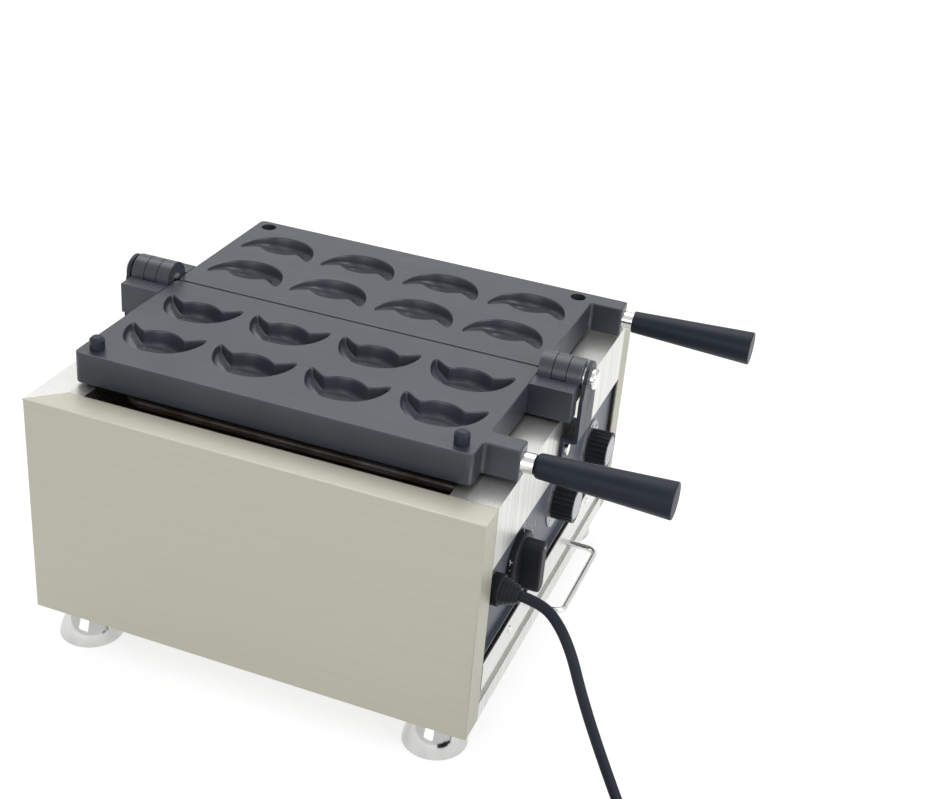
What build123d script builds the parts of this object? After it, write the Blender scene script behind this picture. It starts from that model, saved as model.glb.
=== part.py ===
"""Electric double-sided waffle machine with two cast ingot moulds that open like a book.

Millimetres, +Z up. The controls and the two grips face -Y, the hinge pins lie along Y at x = 0,
and the origin is on the table, in the middle of the machine's outline.
"""

import math
import os

from build123d import *

os.makedirs("parts", exist_ok=True)

# Cabinet shell
cabinet_width = 368.0
cabinet_depth = 360.0
cabinet_height = 184.0
foot_height = 30.0
sheet = 1.2
post_width = 24.0
rim_width = 24.0
rim_lip = 10.0
seam = 0.3
vent_length = 34.0
vent_width = 5.0
vent_pitch = 12.0
vent_rows = 5
vent_columns = 4
base_pan_height = 10.0

# Control end, heights measured up from the cabinet's bottom edge
fascia_height = 50.5
panel_recess = 4.0
panel_lap = 6.0
panel_foot = 61.5
tray_opening_foot = 25.5
rail_band = 15.0
rail_step = 3.0

# Moulds
mould_length = 314.0
mould_width = 147.25
mould_thickness = 25.0
mould_corner = 5.0
edge_break = 0.8
mould_offset = 2.5
parting_gap = 1.5
axis_above_rim = 28.0
face_drop = 0.15
stub_radius = 4.0
stub_inset = 7.5
seat_gap = 0.3
pocket_depth = 4.0
pocket_rib = 9.0
pocket_round = 6.0
stub_near_hinge = 42.0

# Ingot cavities, two rows of four in each mould
cavity_columns = 4
column_pitch = 75.6
row_near_hinge = 39.4
row_pitch = 58.0
ingot_length = 64.0
ingot_width = 41.6
ear_inner = 22.0
ear_outer = 29.5
ear_dip = 9.0
ear_dip_half = 13.0
keel_length = 46.0
keel_round = 10.0
side_round = 8.0
ear_round = 3.6
dip_round = 5.0
ingot_draft = 24.0
left_ingot_depth = 12.0
right_ingot_depth = 9.0
egg_length = 36.0
egg_width = 32.0
egg_offset = 1.0

# Hinge
knuckle_radius = 14.0
knuckle_length = 10.7
knuckle_gap = 0.6
lug_width = 30.0
lug_root = 15.2
lug_seam = 0.05
pin_radius = 5.0
pin_clearance = 0.05
washer_thickness = 2.0
washer_radius = 9.0
bracket_sheet = 3.0
bracket_half_width = 18.0
bracket_head_radius = 13.0
bracket_shoulder = 14.0
bracket_foot_drop = 18.0
bracket_tab_height = 26.0
bracket_screw_pitch = 20.0
bracket_screw_radius = 2.5
bracket_screw_head_radius = 4.5
bracket_screw_head = 2.5
pin_head_radius = 8.0
pin_head = 5.0

# Locating pegs of the left mould and their holes in the right one
peg_radius = 5.7
peg_height = 10.0
peg_stem = 8.0
peg_tip = 2.0
peg_clearance = 0.8
peg_reach = 136.0
peg_inset = 13.0

# Handles
lug_length = 27.0
handle_lug_width = 17.0
lug_round = 2.0
left_handle_reach = 118.5
rod_radius = 4.0
rod_clearance = 0.05
rod_in_lug = 18.0
collar_radius = 7.5
collar_length = 9.0
collar_round = 1.0
grip_length = 99.5
grip_root_radius = 9.0
grip_end_radius = 13.5
grip_round = 4.0
rod_in_grip = 70.0

# Drip tray
tray_width = 300.0
tray_length = 300.0
tray_depth = 20.0
tray_slide_gap = 1.0
tray_top_gap = 4.0
tray_front_height = 24.5
tray_front_sheet = 1.5
tray_front_width = 317.0
tray_corner = 8.0
runner_leg = 12.0
runner_side = 2.5
runner_length = 270.0
handle_wire_radius = 2.5
handle_wire_width = 95.0
handle_wire_reach = 26.0
handle_wire_height = 5.0
handle_wire_bend = 8.0
rivet_radius = 3.0
rivet_height = 1.2
rivet_spread = 200.0

# Heating
element_radius = 4.0
element_below_mould = 18.0
element_first = 24.0
element_pitch = 34.0
element_bend = 14.0
element_tail = 8.0
element_pin_radius = 1.8
element_pin_length = 7.0
reflector_lip = 6.0
rail_flange = 12.0
rail_height = 27.0
shield_setback = 50.0
shield_flange = 10.0
bulb_radius = 3.0
bulb_length = 90.0
bulb_x = 75.0

# Controls, measured along X from the middle and up from the cabinet's bottom edge
control_height = 97.5
timer_x = -90.0
thermostat_left_x = 5.0
thermostat_right_x = 98.0
shaft_radius = 3.0
shaft_clearance = 0.05
knob_gap = 0.4
timer_skirt_radius = 24.0
timer_skirt = 6.0
timer_bar_length = 42.0
timer_bar_width = 13.0
timer_bar_height = 15.0
timer_skirt_round = 2.5
timer_bar_round = 5.0
timer_bar_edge = 2.0
timer_shaft_in_knob = 16.0
knob_radius = 15.5
knob_height = 17.0
knob_flutes = 24
flute_radius = 0.9
cap_radius = 12.5
cap_recess = 1.2
cap_thickness = 1.5
thermostat_shaft_in_knob = 12.0
dial_radius = 23.0
dial_thickness = 1.2
timer_can_radius = 22.0
timer_can_length = 34.0
thermostat_size = 34.0
thermostat_length = 28.0
thermostat_round = 3.0
shaft_well = 1.0

# Cable entry, cord and plug
gland_x = -142.0
gland_height = 106.0
gland_base_radius = 12.0
gland_base = 8.0
gland_dome_radius = 10.0
gland_dome = 13.0
gland_nut_radius = 12.5
gland_nut = 5.0
gland_thread_radius = 8.0
gland_thread = 12.0
gland_base_round = 1.5
gland_dome_taper = 18.0
gland_dome_round = 1.0
cord_radius = 4.0
cord_lift = 0.1
coil_outer_radius = 54.0
coil_half_turns = 10
coil_gap = 0.8
plug_width = 34.0
plug_length = 36.0
plug_waist_radius = 7.5
plug_neck = 16.0
plug_clearance = 1.5
blade_width = 6.3
blade_thickness = 1.5
blade_length = 16.0
blade_pitch = 12.7
earth_pin_radius = 2.4
earth_pin_length = 19.0
earth_pin_rise = 11.9
blade_drop = -5.0
plug_round = 8.0
plug_face_round = 2.0

# Feet
foot_radius = 25.0
foot_top_radius = 11.0
foot_wall = 2.0
foot_waist_radius = 20.5
foot_waist = 15.0
foot_hub_radius = 7.5
foot_hub_depth = 10.0
foot_bolt_head = 4.0
foot_bolt_end = 2.0
foot_inset = 26.0
foot_inset_end = 32.0
foot_bolt_radius = 4.0
foot_nut_radius = 7.5
foot_nut_height = 6.5
terminal_length = 46.0
terminal_width = 17.0
terminal_height = 14.0
terminal_round = 2.0
terminal_x = -110.0
terminal_screw_radius = 2.2
terminal_screw_depth = 5.0
terminal_setback = 30.0

# Places worked out from the sizes
half_width = cabinet_width / 2
floor_z = foot_height
top_z = floor_z + cabinet_height
axis_z = top_z + axis_above_rim
face_z = axis_z - face_drop
mould_back_z = face_z - mould_thickness
handle_z = face_z - mould_thickness / 2
hinge_lug = 3 * knuckle_length + 3 * knuckle_gap
pin_reach = seam + washer_thickness + bracket_sheet
grip_reach = mould_length / 2 - mould_offset + lug_length + collar_length + grip_length
rear_reach = mould_length / 2 + mould_offset + hinge_lug + pin_reach + pin_head
mid_y = (grip_reach - rear_reach) / 2
front_y = mid_y - cabinet_depth / 2
rear_y = mid_y + cabinet_depth / 2
mould_y = mid_y + mould_offset
mould_front_y = mould_y - mould_length / 2
mould_rear_y = mould_y + mould_length / 2
panel_y = front_y + panel_recess
opening_half = half_width - rim_width
opening_front_y = front_y + rim_width
opening_rear_y = rear_y - rim_width
post_inner = half_width - post_width
control_z = floor_z + control_height
rail_top_z = floor_z + tray_opening_foot
tray_floor_z = rail_top_z + tray_slide_gap
element_z = mould_back_z - element_below_mould
reflector_z = top_z - rail_height + sheet
shield_y = front_y + shield_setback

fascia_foot_z = top_z - fascia_height
panel_foot_z = floor_z + panel_foot
shield_foot_z = tray_floor_z + tray_depth + tray_top_gap
gland_z = floor_z + gland_height
gland_mouth_y = panel_y - gland_base - gland_dome
mould_edge = parting_gap / 2 + mould_width
terminal_y = panel_y + terminal_setback
element_ends = [sign * (element_first + step * element_pitch) for sign in (-1, 1) for step in (0, 3)]


def across_plane(x):
    """Plane square to X, with its first axis along Y and its second along Z."""
    return Plane(origin=(x, 0, 0), x_dir=(0, 1, 0), z_dir=(1, 0, 0))


def control_plane(x, y):
    """Plane facing the user at a control's centre line, with its first axis along X."""
    return Plane(origin=(x, y, control_z), x_dir=(1, 0, 0), z_dir=(0, -1, 0))


def gland_plane(y):
    """Plane facing the user on the cable gland's centre line."""
    return Plane(origin=(gland_x, y, gland_z), x_dir=(1, 0, 0), z_dir=(0, -1, 0))


# Side panels: outer wall, two return posts and a folded rim, mitred at the rear
for side, sign in (("left", -1), ("right", 1)):
    with BuildPart() as side_panel:
        with BuildSketch(Plane.XY.offset(floor_z)) as section:
            with Locations((sign * (half_width - sheet / 2), mid_y)):
                Rectangle(sheet, cabinet_depth)
            for post_y in (front_y + sheet / 2, rear_y - sheet / 2):
                with Locations((sign * (half_width - post_width / 2), post_y)):
                    Rectangle(post_width, sheet)
            across = section.vertices().sort_by(Axis.X)
            fillet(across[:2] if sign < 0 else across[-2:], radius=sheet)
        extrude(amount=cabinet_height - sheet)
        with BuildSketch(Plane.XY.offset(top_z - sheet)):
            Polygon(
                (sign * half_width, front_y),
                (sign * half_width, rear_y),
                (sign * opening_half, opening_rear_y),
                (sign * opening_half, front_y),
                align=None,
            )
        extrude(amount=sheet)
        with BuildSketch(Plane.XY.offset(top_z - rim_lip)):
            with Locations((sign * (opening_half + sheet / 2), mid_y)):
                Rectangle(sheet, opening_rear_y - opening_front_y)
        extrude(amount=rim_lip)
        rim_edges = side_panel.edges().group_by(Axis.Z)[-1].filter_by(Axis.Y)
        fillet(rim_edges.sort_by(Axis.X)[0 if sign < 0 else -1], radius=sheet * 0.8)
    side_panel.part.label = f"side_panel_{side}"
    export_step(side_panel.part, f"parts/side_panel_{side}.step")

# Rear panel with its rim and louvre slots
with BuildPart() as rear_panel:
    with BuildSketch(Plane.XZ.offset(-rear_y)):
        with Locations((0, floor_z + cabinet_height / 2)):
            Rectangle(2 * (post_inner - seam), cabinet_height)
            with GridLocations(2 * vent_length, vent_pitch, vent_columns, vent_rows):
                SlotOverall(vent_length, vent_width, mode=Mode.SUBTRACT)
    extrude(amount=sheet)
    with BuildSketch(Plane.XY.offset(top_z - sheet)):
        Polygon(
            (-half_width + seam, rear_y),
            (half_width - seam, rear_y),
            (opening_half - seam, opening_rear_y),
            (-opening_half + seam, opening_rear_y),
            align=None,
        )
    extrude(amount=sheet)
    with BuildSketch(Plane.XY.offset(top_z - rim_lip)):
        with Locations((0, opening_rear_y + sheet / 2)):
            Rectangle(2 * (opening_half - seam), sheet)
    extrude(amount=rim_lip)
rear_panel.part.label = "rear_panel"
export_step(rear_panel.part, "parts/rear_panel.step")

# Base pan with upturned edges, cooling slots and holes for the feet
foot_places = {
    "front_left": (-half_width + foot_inset, front_y + foot_inset_end),
    "front_right": (half_width - foot_inset, front_y + foot_inset_end),
    "rear_left": (-half_width + foot_inset, rear_y - foot_inset_end),
    "rear_right": (half_width - foot_inset, rear_y - foot_inset_end),
}
pan_depth = cabinet_depth - 2 * sheet - rail_step - 2 * seam
pan_y = mid_y + rail_step / 2
with BuildPart() as base_pan:
    with Locations((0, pan_y, floor_z)):
        Box(
            cabinet_width - 2 * sheet - 2 * seam,
            pan_depth,
            base_pan_height,
            align=(Align.CENTER, Align.CENTER, Align.MIN),
        )
    fillet(base_pan.edges().filter_by(Axis.Z), radius=2 * sheet)
    offset(amount=-sheet, openings=base_pan.faces().sort_by(Axis.Z)[-1])
    with BuildSketch(Plane.XY.offset(floor_z)):
        with Locations(*foot_places.values()):
            Circle(foot_bolt_radius + rod_clearance)
        with Locations((0, mid_y)):
            with GridLocations(2 * vent_length, 2 * vent_pitch, vent_columns, vent_rows):
                SlotOverall(vent_length, vent_width)
    extrude(amount=sheet, mode=Mode.SUBTRACT)
base_pan.part.label = "base_pan"
export_step(base_pan.part, "parts/base_pan.step")

# Front fascia: upright band, deck folded back to the mould opening, and a lip at each free edge
with BuildPart() as front_fascia:
    with BuildSketch(across_plane(-post_inner + seam)) as section:
        with BuildLine():
            Polyline(
                (opening_front_y, top_z - rim_lip),
                (opening_front_y, top_z),
                (front_y, top_z),
                (front_y, fascia_foot_z),
                (panel_y - seam, fascia_foot_z),
            )
            offset(amount=sheet, side=Side.LEFT)
        make_face()
    extrude(amount=2 * (post_inner - seam))
front_fascia.part.label = "front_fascia"
export_step(front_fascia.part, "parts/front_fascia.step")

# Control panel: recessed sheet, its foot folded out to form the bright lip over the tray
with BuildPart() as control_panel:
    with BuildSketch(across_plane(-post_inner + seam)):
        with BuildLine():
            Polyline(
                (front_y, panel_foot_z),
                (panel_y, panel_foot_z),
                (panel_y, fascia_foot_z + panel_lap),
            )
            offset(amount=sheet, side=Side.RIGHT)
        make_face()
    extrude(amount=2 * (post_inner - seam))
    with Locations(*[control_plane(x, panel_y) for x in (timer_x, thermostat_left_x, thermostat_right_x)]):
        Hole(shaft_radius + shaft_clearance, depth=2 * sheet)
    with Locations(gland_plane(panel_y)):
        Hole(gland_thread_radius + shaft_clearance, depth=2 * sheet)
control_panel.part.label = "control_panel"
export_step(control_panel.part, "parts/control_panel.step")

# Base rail: plain band below, stepped back under the tray
with BuildPart() as base_rail:
    with BuildSketch(across_plane(-post_inner + seam)):
        with BuildLine():
            Polyline(
                (front_y, floor_z),
                (front_y, floor_z + rail_band),
                (front_y + rail_step, floor_z + rail_band),
                (front_y + rail_step, rail_top_z),
                (front_y + rail_step + rail_flange, rail_top_z),
            )
            offset(amount=sheet, side=Side.RIGHT)
        make_face()
    extrude(amount=2 * (post_inner - seam))
base_rail.part.label = "base_rail"
export_step(base_rail.part, "parts/base_rail.step")

# Rest rails across the opening: the stubs of the moulds rest on top, the reflector on the foot
for end, edge_y, inward in (("front", opening_front_y, 1), ("rear", opening_rear_y, -1)):
    with BuildPart() as rest_rail:
        with BuildSketch(across_plane(-opening_half)):
            with BuildLine():
                Polyline(
                    (edge_y + inward * rail_flange, top_z),
                    (edge_y, top_z),
                    (edge_y, top_z - rail_height),
                    (edge_y + inward * rail_flange, top_z - rail_height),
                )
                offset(amount=sheet, side=Side.LEFT if inward > 0 else Side.RIGHT)
            make_face()
        extrude(amount=2 * opening_half)
        if inward > 0:
            with Locations(*[Plane.XZ.offset(-edge_y) * Location((x, element_z)) for x in element_ends]):
                Hole(element_radius + rod_clearance, depth=4 * rail_flange)
    rest_rail.part.label = f"rest_rail_{end}"
    export_step(rest_rail.part, f"parts/rest_rail_{end}.step")

# Reflector: shallow pan under the elements, standing on the rails' feet
with BuildPart() as reflector_pan:
    with Locations((0, mid_y, reflector_z)):
        Box(
            2 * (opening_half - seam),
            opening_rear_y - opening_front_y - 2 * sheet - 2 * seam,
            reflector_lip,
            align=(Align.CENTER, Align.CENTER, Align.MIN),
        )
    fillet(reflector_pan.edges().filter_by(Axis.Z), radius=3 * sheet)
    offset(amount=-sheet, openings=reflector_pan.faces().sort_by(Axis.Z)[-1])
reflector_pan.part.label = "reflector_pan"
export_step(reflector_pan.part, "parts/reflector_pan.step")

# Tubular elements, two loops under each mould, their ends through the front rail
for side, sign in (("left", -1), ("right", 1)):
    first = sign * element_first
    runs = [first + sign * step * element_pitch for step in range(4)]
    near_y = opening_front_y + sheet + rail_flange + 3 * element_radius
    far_y = opening_rear_y - sheet - rail_flange - 3 * element_radius
    start_y = opening_front_y - element_tail
    route = [
        (runs[0], start_y, element_z),
        (runs[0], far_y, element_z),
        (runs[1], far_y, element_z),
        (runs[1], near_y, element_z),
        (runs[2], near_y, element_z),
        (runs[2], far_y, element_z),
        (runs[3], far_y, element_z),
        (runs[3], start_y, element_z),
    ]
    with BuildPart() as heater:
        with BuildLine() as path:
            FilletPolyline(*route, radius=element_bend)
        with BuildSketch(Plane.XZ.offset(-start_y)):
            with Locations((runs[0], element_z)):
                Circle(element_radius)
        sweep(path=path.wires()[0])
        with BuildSketch(Plane.XZ.offset(-start_y)):
            with Locations((runs[0], element_z), (runs[3], element_z)):
                Circle(element_pin_radius)
        extrude(amount=element_pin_length)
    heater.part.label = f"heater_{side}"
    export_step(heater.part, f"parts/heater_{side}.step")

# Heat shield between the control compartment and the oven space, flanged to the side panels
with BuildPart() as heat_shield:
    with BuildSketch(Plane.XY.offset(shield_foot_z)) as section:
        with BuildLine():
            Polyline(
                (-half_width + sheet, shield_y + shield_flange),
                (-half_width + sheet, shield_y),
                (half_width - sheet, shield_y),
                (half_width - sheet, shield_y + shield_flange),
            )
            offset(amount=sheet, side=Side.LEFT)
        make_face()
    extrude(amount=top_z - rail_height - seam - shield_foot_z)
heat_shield.part.label = "heat_shield"
export_step(heat_shield.part, "parts/heat_shield.step")

# Runners: folded rails that carry the tray on the base pan
runner_z = tray_floor_z - seat_gap - sheet
for side, sign in (("left", -1), ("right", 1)):
    with BuildPart() as tray_runner:
        with BuildSketch(Plane.XZ.offset(-(mid_y - runner_length / 2))):
            with BuildLine():
                Polyline(
                    (sign * (tray_width / 2 + runner_side + runner_leg), floor_z + sheet),
                    (sign * (tray_width / 2 + runner_side), floor_z + sheet),
                    (sign * (tray_width / 2 + runner_side), runner_z),
                    (sign * (tray_width / 2 + runner_side - runner_leg), runner_z),
                )
                offset(amount=sheet, side=Side.RIGHT if sign > 0 else Side.LEFT)
            make_face()
        extrude(amount=-runner_length)
    tray_runner.part.label = f"tray_runner_{side}"
    export_step(tray_runner.part, f"parts/tray_runner_{side}.step")

# Drip tray and its front
with BuildPart() as drip_tray:
    with Locations((0, front_y + tray_front_sheet, tray_floor_z)):
        Box(tray_width, tray_length, tray_depth, align=(Align.CENTER, Align.MIN, Align.MIN))
    fillet(drip_tray.edges().filter_by(Axis.Z).group_by(Axis.Y)[-1], radius=tray_corner)
    fillet(drip_tray.edges().group_by(Axis.Z)[0], radius=2 * sheet)
    offset(amount=-sheet, openings=drip_tray.faces().sort_by(Axis.Z)[-1])
drip_tray.part.label = "drip_tray"
export_step(drip_tray.part, "parts/drip_tray.step")

tray_front_z = rail_top_z + seat_gap
with BuildPart() as tray_front:
    with BuildSketch(Plane.XZ.offset(-front_y)):
        with Locations((0, tray_front_z + tray_front_height / 2)):
            Rectangle(tray_front_width, tray_front_height)
    extrude(amount=-tray_front_sheet)
    fillet(tray_front.edges().filter_by(Axis.X).group_by(Axis.Y)[0], radius=tray_front_sheet / 2)
tray_front.part.label = "tray_front"
export_step(tray_front.part, "parts/tray_front.step")

# Wire handle of the tray
wire_z = tray_front_z + handle_wire_height
with BuildPart() as tray_handle:
    with BuildLine() as path:
        FilletPolyline(
            (-handle_wire_width / 2, front_y, wire_z),
            (-handle_wire_width / 2, front_y - handle_wire_reach, wire_z),
            (handle_wire_width / 2, front_y - handle_wire_reach, wire_z),
            (handle_wire_width / 2, front_y, wire_z),
            radius=handle_wire_bend,
        )
    with BuildSketch(Plane.XZ.offset(-front_y)):
        with Locations((-handle_wire_width / 2, wire_z)):
            Circle(handle_wire_radius)
    sweep(path=path.wires()[0])
tray_handle.part.label = "tray_handle"
export_step(tray_handle.part, "parts/tray_handle.step")

with BuildPart() as tray_rivets:
    with BuildSketch(Plane.XZ.offset(-front_y)):
        with Locations((0, tray_front_z + tray_front_height * 2 / 3)):
            with GridLocations(rivet_spread, 1, 2, 1):
                Circle(rivet_radius)
    extrude(amount=rivet_height)
    fillet(tray_rivets.edges().group_by(Axis.Y)[0], radius=rivet_height * 0.8)
tray_rivets.part.label = "tray_rivets"
export_step(tray_rivets.part, "parts/tray_rivets.step")

# Hinge brackets: a tab on the cabinet, a shelf outwards and an upright with a round head
bracket_shelf_z = top_z - bracket_foot_drop
bracket_screw_z = bracket_shelf_z - bracket_tab_height / 2
for end, sign in (("front", -1), ("rear", 1)):
    wall_y = front_y if sign < 0 else rear_y
    outer_y = mould_y + sign * (mould_length / 2 + hinge_lug + pin_reach)
    with BuildPart() as hinge_bracket:
        with BuildSketch(across_plane(-bracket_half_width)) as section:
            with BuildLine():
                Polyline(
                    (wall_y, bracket_shelf_z - bracket_tab_height),
                    (wall_y, bracket_shelf_z),
                    (outer_y, bracket_shelf_z),
                )
                offset(amount=bracket_sheet, side=Side.RIGHT if sign > 0 else Side.LEFT)
            make_face()
        extrude(amount=2 * bracket_half_width)
        with BuildSketch(Plane.XZ.offset(-outer_y)):
            Polygon(
                (-bracket_half_width, bracket_shelf_z - bracket_sheet),
                (bracket_half_width, bracket_shelf_z - bracket_sheet),
                (bracket_half_width, axis_z - bracket_shoulder),
                (bracket_head_radius, axis_z),
                (-bracket_head_radius, axis_z),
                (-bracket_half_width, axis_z - bracket_shoulder),
                align=None,
            )
            with Locations((0, axis_z)):
                Circle(bracket_head_radius)
                Circle(pin_radius, mode=Mode.SUBTRACT)
        extrude(amount=sign * bracket_sheet)
        outer_corner = hinge_bracket.edges().filter_by(Axis.X).group_by(Axis.Y)[-1 if sign > 0 else 0]
        fillet(outer_corner.sort_by(Axis.Z)[0], radius=bracket_sheet * 0.9)
        with Locations(Plane.XZ.offset(-wall_y)):
            with Locations((0, bracket_screw_z)):
                with GridLocations(bracket_screw_pitch, 1, 2, 1):
                    Hole(bracket_screw_radius + shaft_clearance, depth=2 * bracket_sheet)
    hinge_bracket.part.label = f"hinge_bracket_{end}"
    export_step(hinge_bracket.part, f"parts/hinge_bracket_{end}.step")

with BuildPart() as bracket_screws:
    for sign, wall_y in ((-1, front_y), (1, rear_y)):
        with BuildSketch(Plane.XZ.offset(-(wall_y + sign * bracket_sheet))):
            with Locations((0, bracket_screw_z)):
                with GridLocations(bracket_screw_pitch, 1, 2, 1):
                    Circle(bracket_screw_head_radius)
        extrude(amount=-sign * bracket_screw_head)
        with BuildSketch(Plane.XZ.offset(-wall_y)):
            with Locations((0, bracket_screw_z)):
                with GridLocations(bracket_screw_pitch, 1, 2, 1):
                    Circle(bracket_screw_radius)
        extrude(amount=-sign * bracket_sheet)
bracket_screws.part.label = "bracket_screws"
export_step(bracket_screws.part, "parts/bracket_screws.step")

# Hinge pins, their washers between bracket and knuckle, and the split pins in their tails
for end, sign in (("front", -1), ("rear", 1)):
    outer_y = mould_y + sign * (mould_length / 2 + hinge_lug + pin_reach)
    pin_length = hinge_lug + pin_reach - knuckle_gap / 2
    with BuildPart() as hinge_pin:
        with BuildSketch(Plane.XZ.offset(-outer_y)):
            with Locations((0, axis_z)):
                Circle(pin_radius)
        extrude(amount=sign * pin_length)
        with BuildSketch(Plane.XZ.offset(-outer_y)):
            with Locations((0, axis_z)):
                Circle(pin_head_radius)
        extrude(amount=-sign * pin_head)
        head_rim = hinge_pin.edges().filter_by(GeomType.CIRCLE).sort_by(Axis.Y)[-1 if sign > 0 else 0]
        fillet(head_rim, radius=pin_head / 2)
    hinge_pin.part.label = f"hinge_pin_{end}"
    export_step(hinge_pin.part, f"parts/hinge_pin_{end}.step")

with BuildPart() as hinge_washers:
    for sign in (-1, 1):
        washer_y = mould_y + sign * (mould_length / 2 + hinge_lug + seam + washer_thickness)
        with BuildSketch(Plane.XZ.offset(-washer_y)):
            with Locations((0, axis_z)):
                Circle(washer_radius)
                Circle(pin_radius, mode=Mode.SUBTRACT)
        extrude(amount=sign * washer_thickness)
hinge_washers.part.label = "hinge_washers"
export_step(hinge_washers.part, "parts/hinge_washers.step")

# One ingot cavity: a drafted boat with two upturned ears, and an egg in its middle
with BuildSketch() as ingot_outline:
    with BuildLine():
        FilletPolyline(
            (-keel_length / 2, -ingot_width / 2),
            (keel_length / 2, -ingot_width / 2),
            (ingot_length / 2, 0),
            (ear_outer, ingot_width / 2),
            (ear_inner, ingot_width / 2),
            (ear_dip_half, ear_dip),
            (-ear_dip_half, ear_dip),
            (-ear_inner, ingot_width / 2),
            (-ear_outer, ingot_width / 2),
            (-ingot_length / 2, 0),
            radius=[keel_round, keel_round, side_round, ear_round, ear_round]
            + [dip_round, dip_round, ear_round, ear_round, side_round],
            close=True,
        )
    make_face()

with BuildPart() as egg:
    with BuildSketch():
        Ellipse(egg_length / 2, egg_width / 2)
        with Locations((0, -egg_width / 2)):
            Rectangle(egg_length, egg_width, mode=Mode.SUBTRACT)
    revolve(axis=Axis.X)

# Cast moulds: plate, handle lug, cavities, rest stubs, cast pockets behind
handle_reach = {"left": left_handle_reach, "right": mould_edge - handle_lug_width / 2}
ingot_depth = {"left": left_ingot_depth, "right": right_ingot_depth}
for side, sign in (("left", -1), ("right", 1)):
    face = Plane(origin=(0, mould_y, face_z), x_dir=(0, sign, 0), z_dir=(0, 0, 1))
    back = face.offset(-mould_thickness)
    rows = Location((0, -row_near_hinge - row_pitch / 2))
    with BuildPart() as mould:
        with BuildSketch(face) as outline:
            with Locations((0, -parting_gap / 2)):
                Rectangle(mould_length, mould_width, align=(Align.CENTER, Align.MAX))
            fillet(outline.vertices(), radius=mould_corner)
        extrude(amount=-mould_thickness)
        with BuildSketch(face) as outline:
            with Locations((-sign * mould_length / 2, -handle_reach[side])):
                Rectangle(2 * lug_length, handle_lug_width)
            fillet(outline.vertices(), radius=lug_round)
        extrude(amount=-mould_thickness)
        chamfer(mould.faces().sort_by(Axis.Z)[-1].edges(), length=edge_break)
        chamfer(mould.faces().sort_by(Axis.Z)[0].edges(), length=edge_break)

        with BuildSketch(face):
            with Locations(rows):
                with GridLocations(column_pitch, row_pitch, cavity_columns, 2):
                    add(ingot_outline.sketch)
        extrude(amount=-ingot_depth[side], taper=ingot_draft, mode=Mode.SUBTRACT)
        with Locations(face):
            with Locations(rows):
                with GridLocations(column_pitch, row_pitch, cavity_columns, 2):
                    with Locations((0, egg_offset)):
                        add(egg.part, mode=Mode.SUBTRACT)

        with BuildSketch(back):
            with Locations(rows):
                with GridLocations(column_pitch, row_pitch, cavity_columns, 2):
                    RectangleRounded(column_pitch - pocket_rib, row_pitch - pocket_rib, radius=pocket_round)
        extrude(amount=pocket_depth, mode=Mode.SUBTRACT)
        with BuildSketch(back):
            for b in (-stub_near_hinge, -peg_reach):
                with Locations((0, b)):
                    with GridLocations(mould_length - 2 * stub_inset, 1, 2, 1):
                        Circle(stub_radius)
        extrude(amount=-(mould_back_z - top_z - seat_gap))

        peg_grid = GridLocations(mould_length - 2 * peg_inset, 1, 2, 1)
        bore_radius = peg_radius + (rod_clearance if side == "left" else peg_clearance)
        bore_depth = peg_stem if side == "left" else peg_height + peg_tip / 2
        with BuildSketch(face):
            with Locations((0, -peg_reach)):
                with GridLocations(mould_length - 2 * peg_inset, 1, 2, 1):
                    Circle(bore_radius)
        extrude(amount=-bore_depth, mode=Mode.SUBTRACT)
        rod_mouth = Plane(
            origin=(sign * handle_reach[side], mould_front_y - lug_length, handle_z),
            x_dir=(1, 0, 0),
            z_dir=(0, -1, 0),
        )
        with Locations(rod_mouth):
            Hole(rod_radius + rod_clearance, depth=rod_in_lug)
    mould.part.label = f"mould_{side}"
    export_step(mould.part, f"parts/mould_{side}.step")

# Hinge lugs at both ends of each mould, their interleaved knuckles turning on the pins
own_knuckles = {"left": (0, 2), "right": (1,)}
for side, sign in (("left", -1), ("right", 1)):
    with BuildPart() as hinge_lugs:
        for end, end_y in ((-1, mould_front_y), (1, mould_rear_y)):
            lug_face = Plane(origin=(0, end_y, axis_z), x_dir=(sign, 0, 0), z_dir=(0, -sign, 0))
            outwards = -sign * end
            with BuildSketch(lug_face):
                with Locations((lug_root, -face_drop)):
                    Rectangle(lug_width - lug_root, mould_thickness, align=(Align.MIN, Align.MAX))
            extrude(amount=outwards * hinge_lug)
            for place in own_knuckles[side]:
                start = knuckle_gap + place * (knuckle_length + knuckle_gap)
                with BuildSketch(lug_face.offset(outwards * start)):
                    Circle(knuckle_radius)
                    with Locations((0, -face_drop)):
                        Rectangle(
                            lug_root - lug_seam,
                            knuckle_radius - face_drop,
                            align=(Align.MIN, Align.MAX),
                        )
                    Circle(pin_radius + pin_clearance, mode=Mode.SUBTRACT)
                extrude(amount=outwards * knuckle_length)
    hinge_lugs.part.label = f"hinge_lugs_{side}"
    export_step(hinge_lugs.part, f"parts/hinge_lugs_{side}.step")

# Pegs that register the right mould on the left one
with BuildPart() as locating_pegs:
    with BuildSketch(Plane.XY.offset(face_z - peg_stem)):
        with Locations((-peg_reach, mould_y)):
            with GridLocations(1, mould_length - 2 * peg_inset, 1, 2):
                Circle(peg_radius)
    extrude(amount=peg_stem + peg_height)
    chamfer(locating_pegs.edges().group_by(Axis.Z)[-1], length=peg_tip)
locating_pegs.part.label = "locating_pegs"
export_step(locating_pegs.part, "parts/locating_pegs.step")

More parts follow.
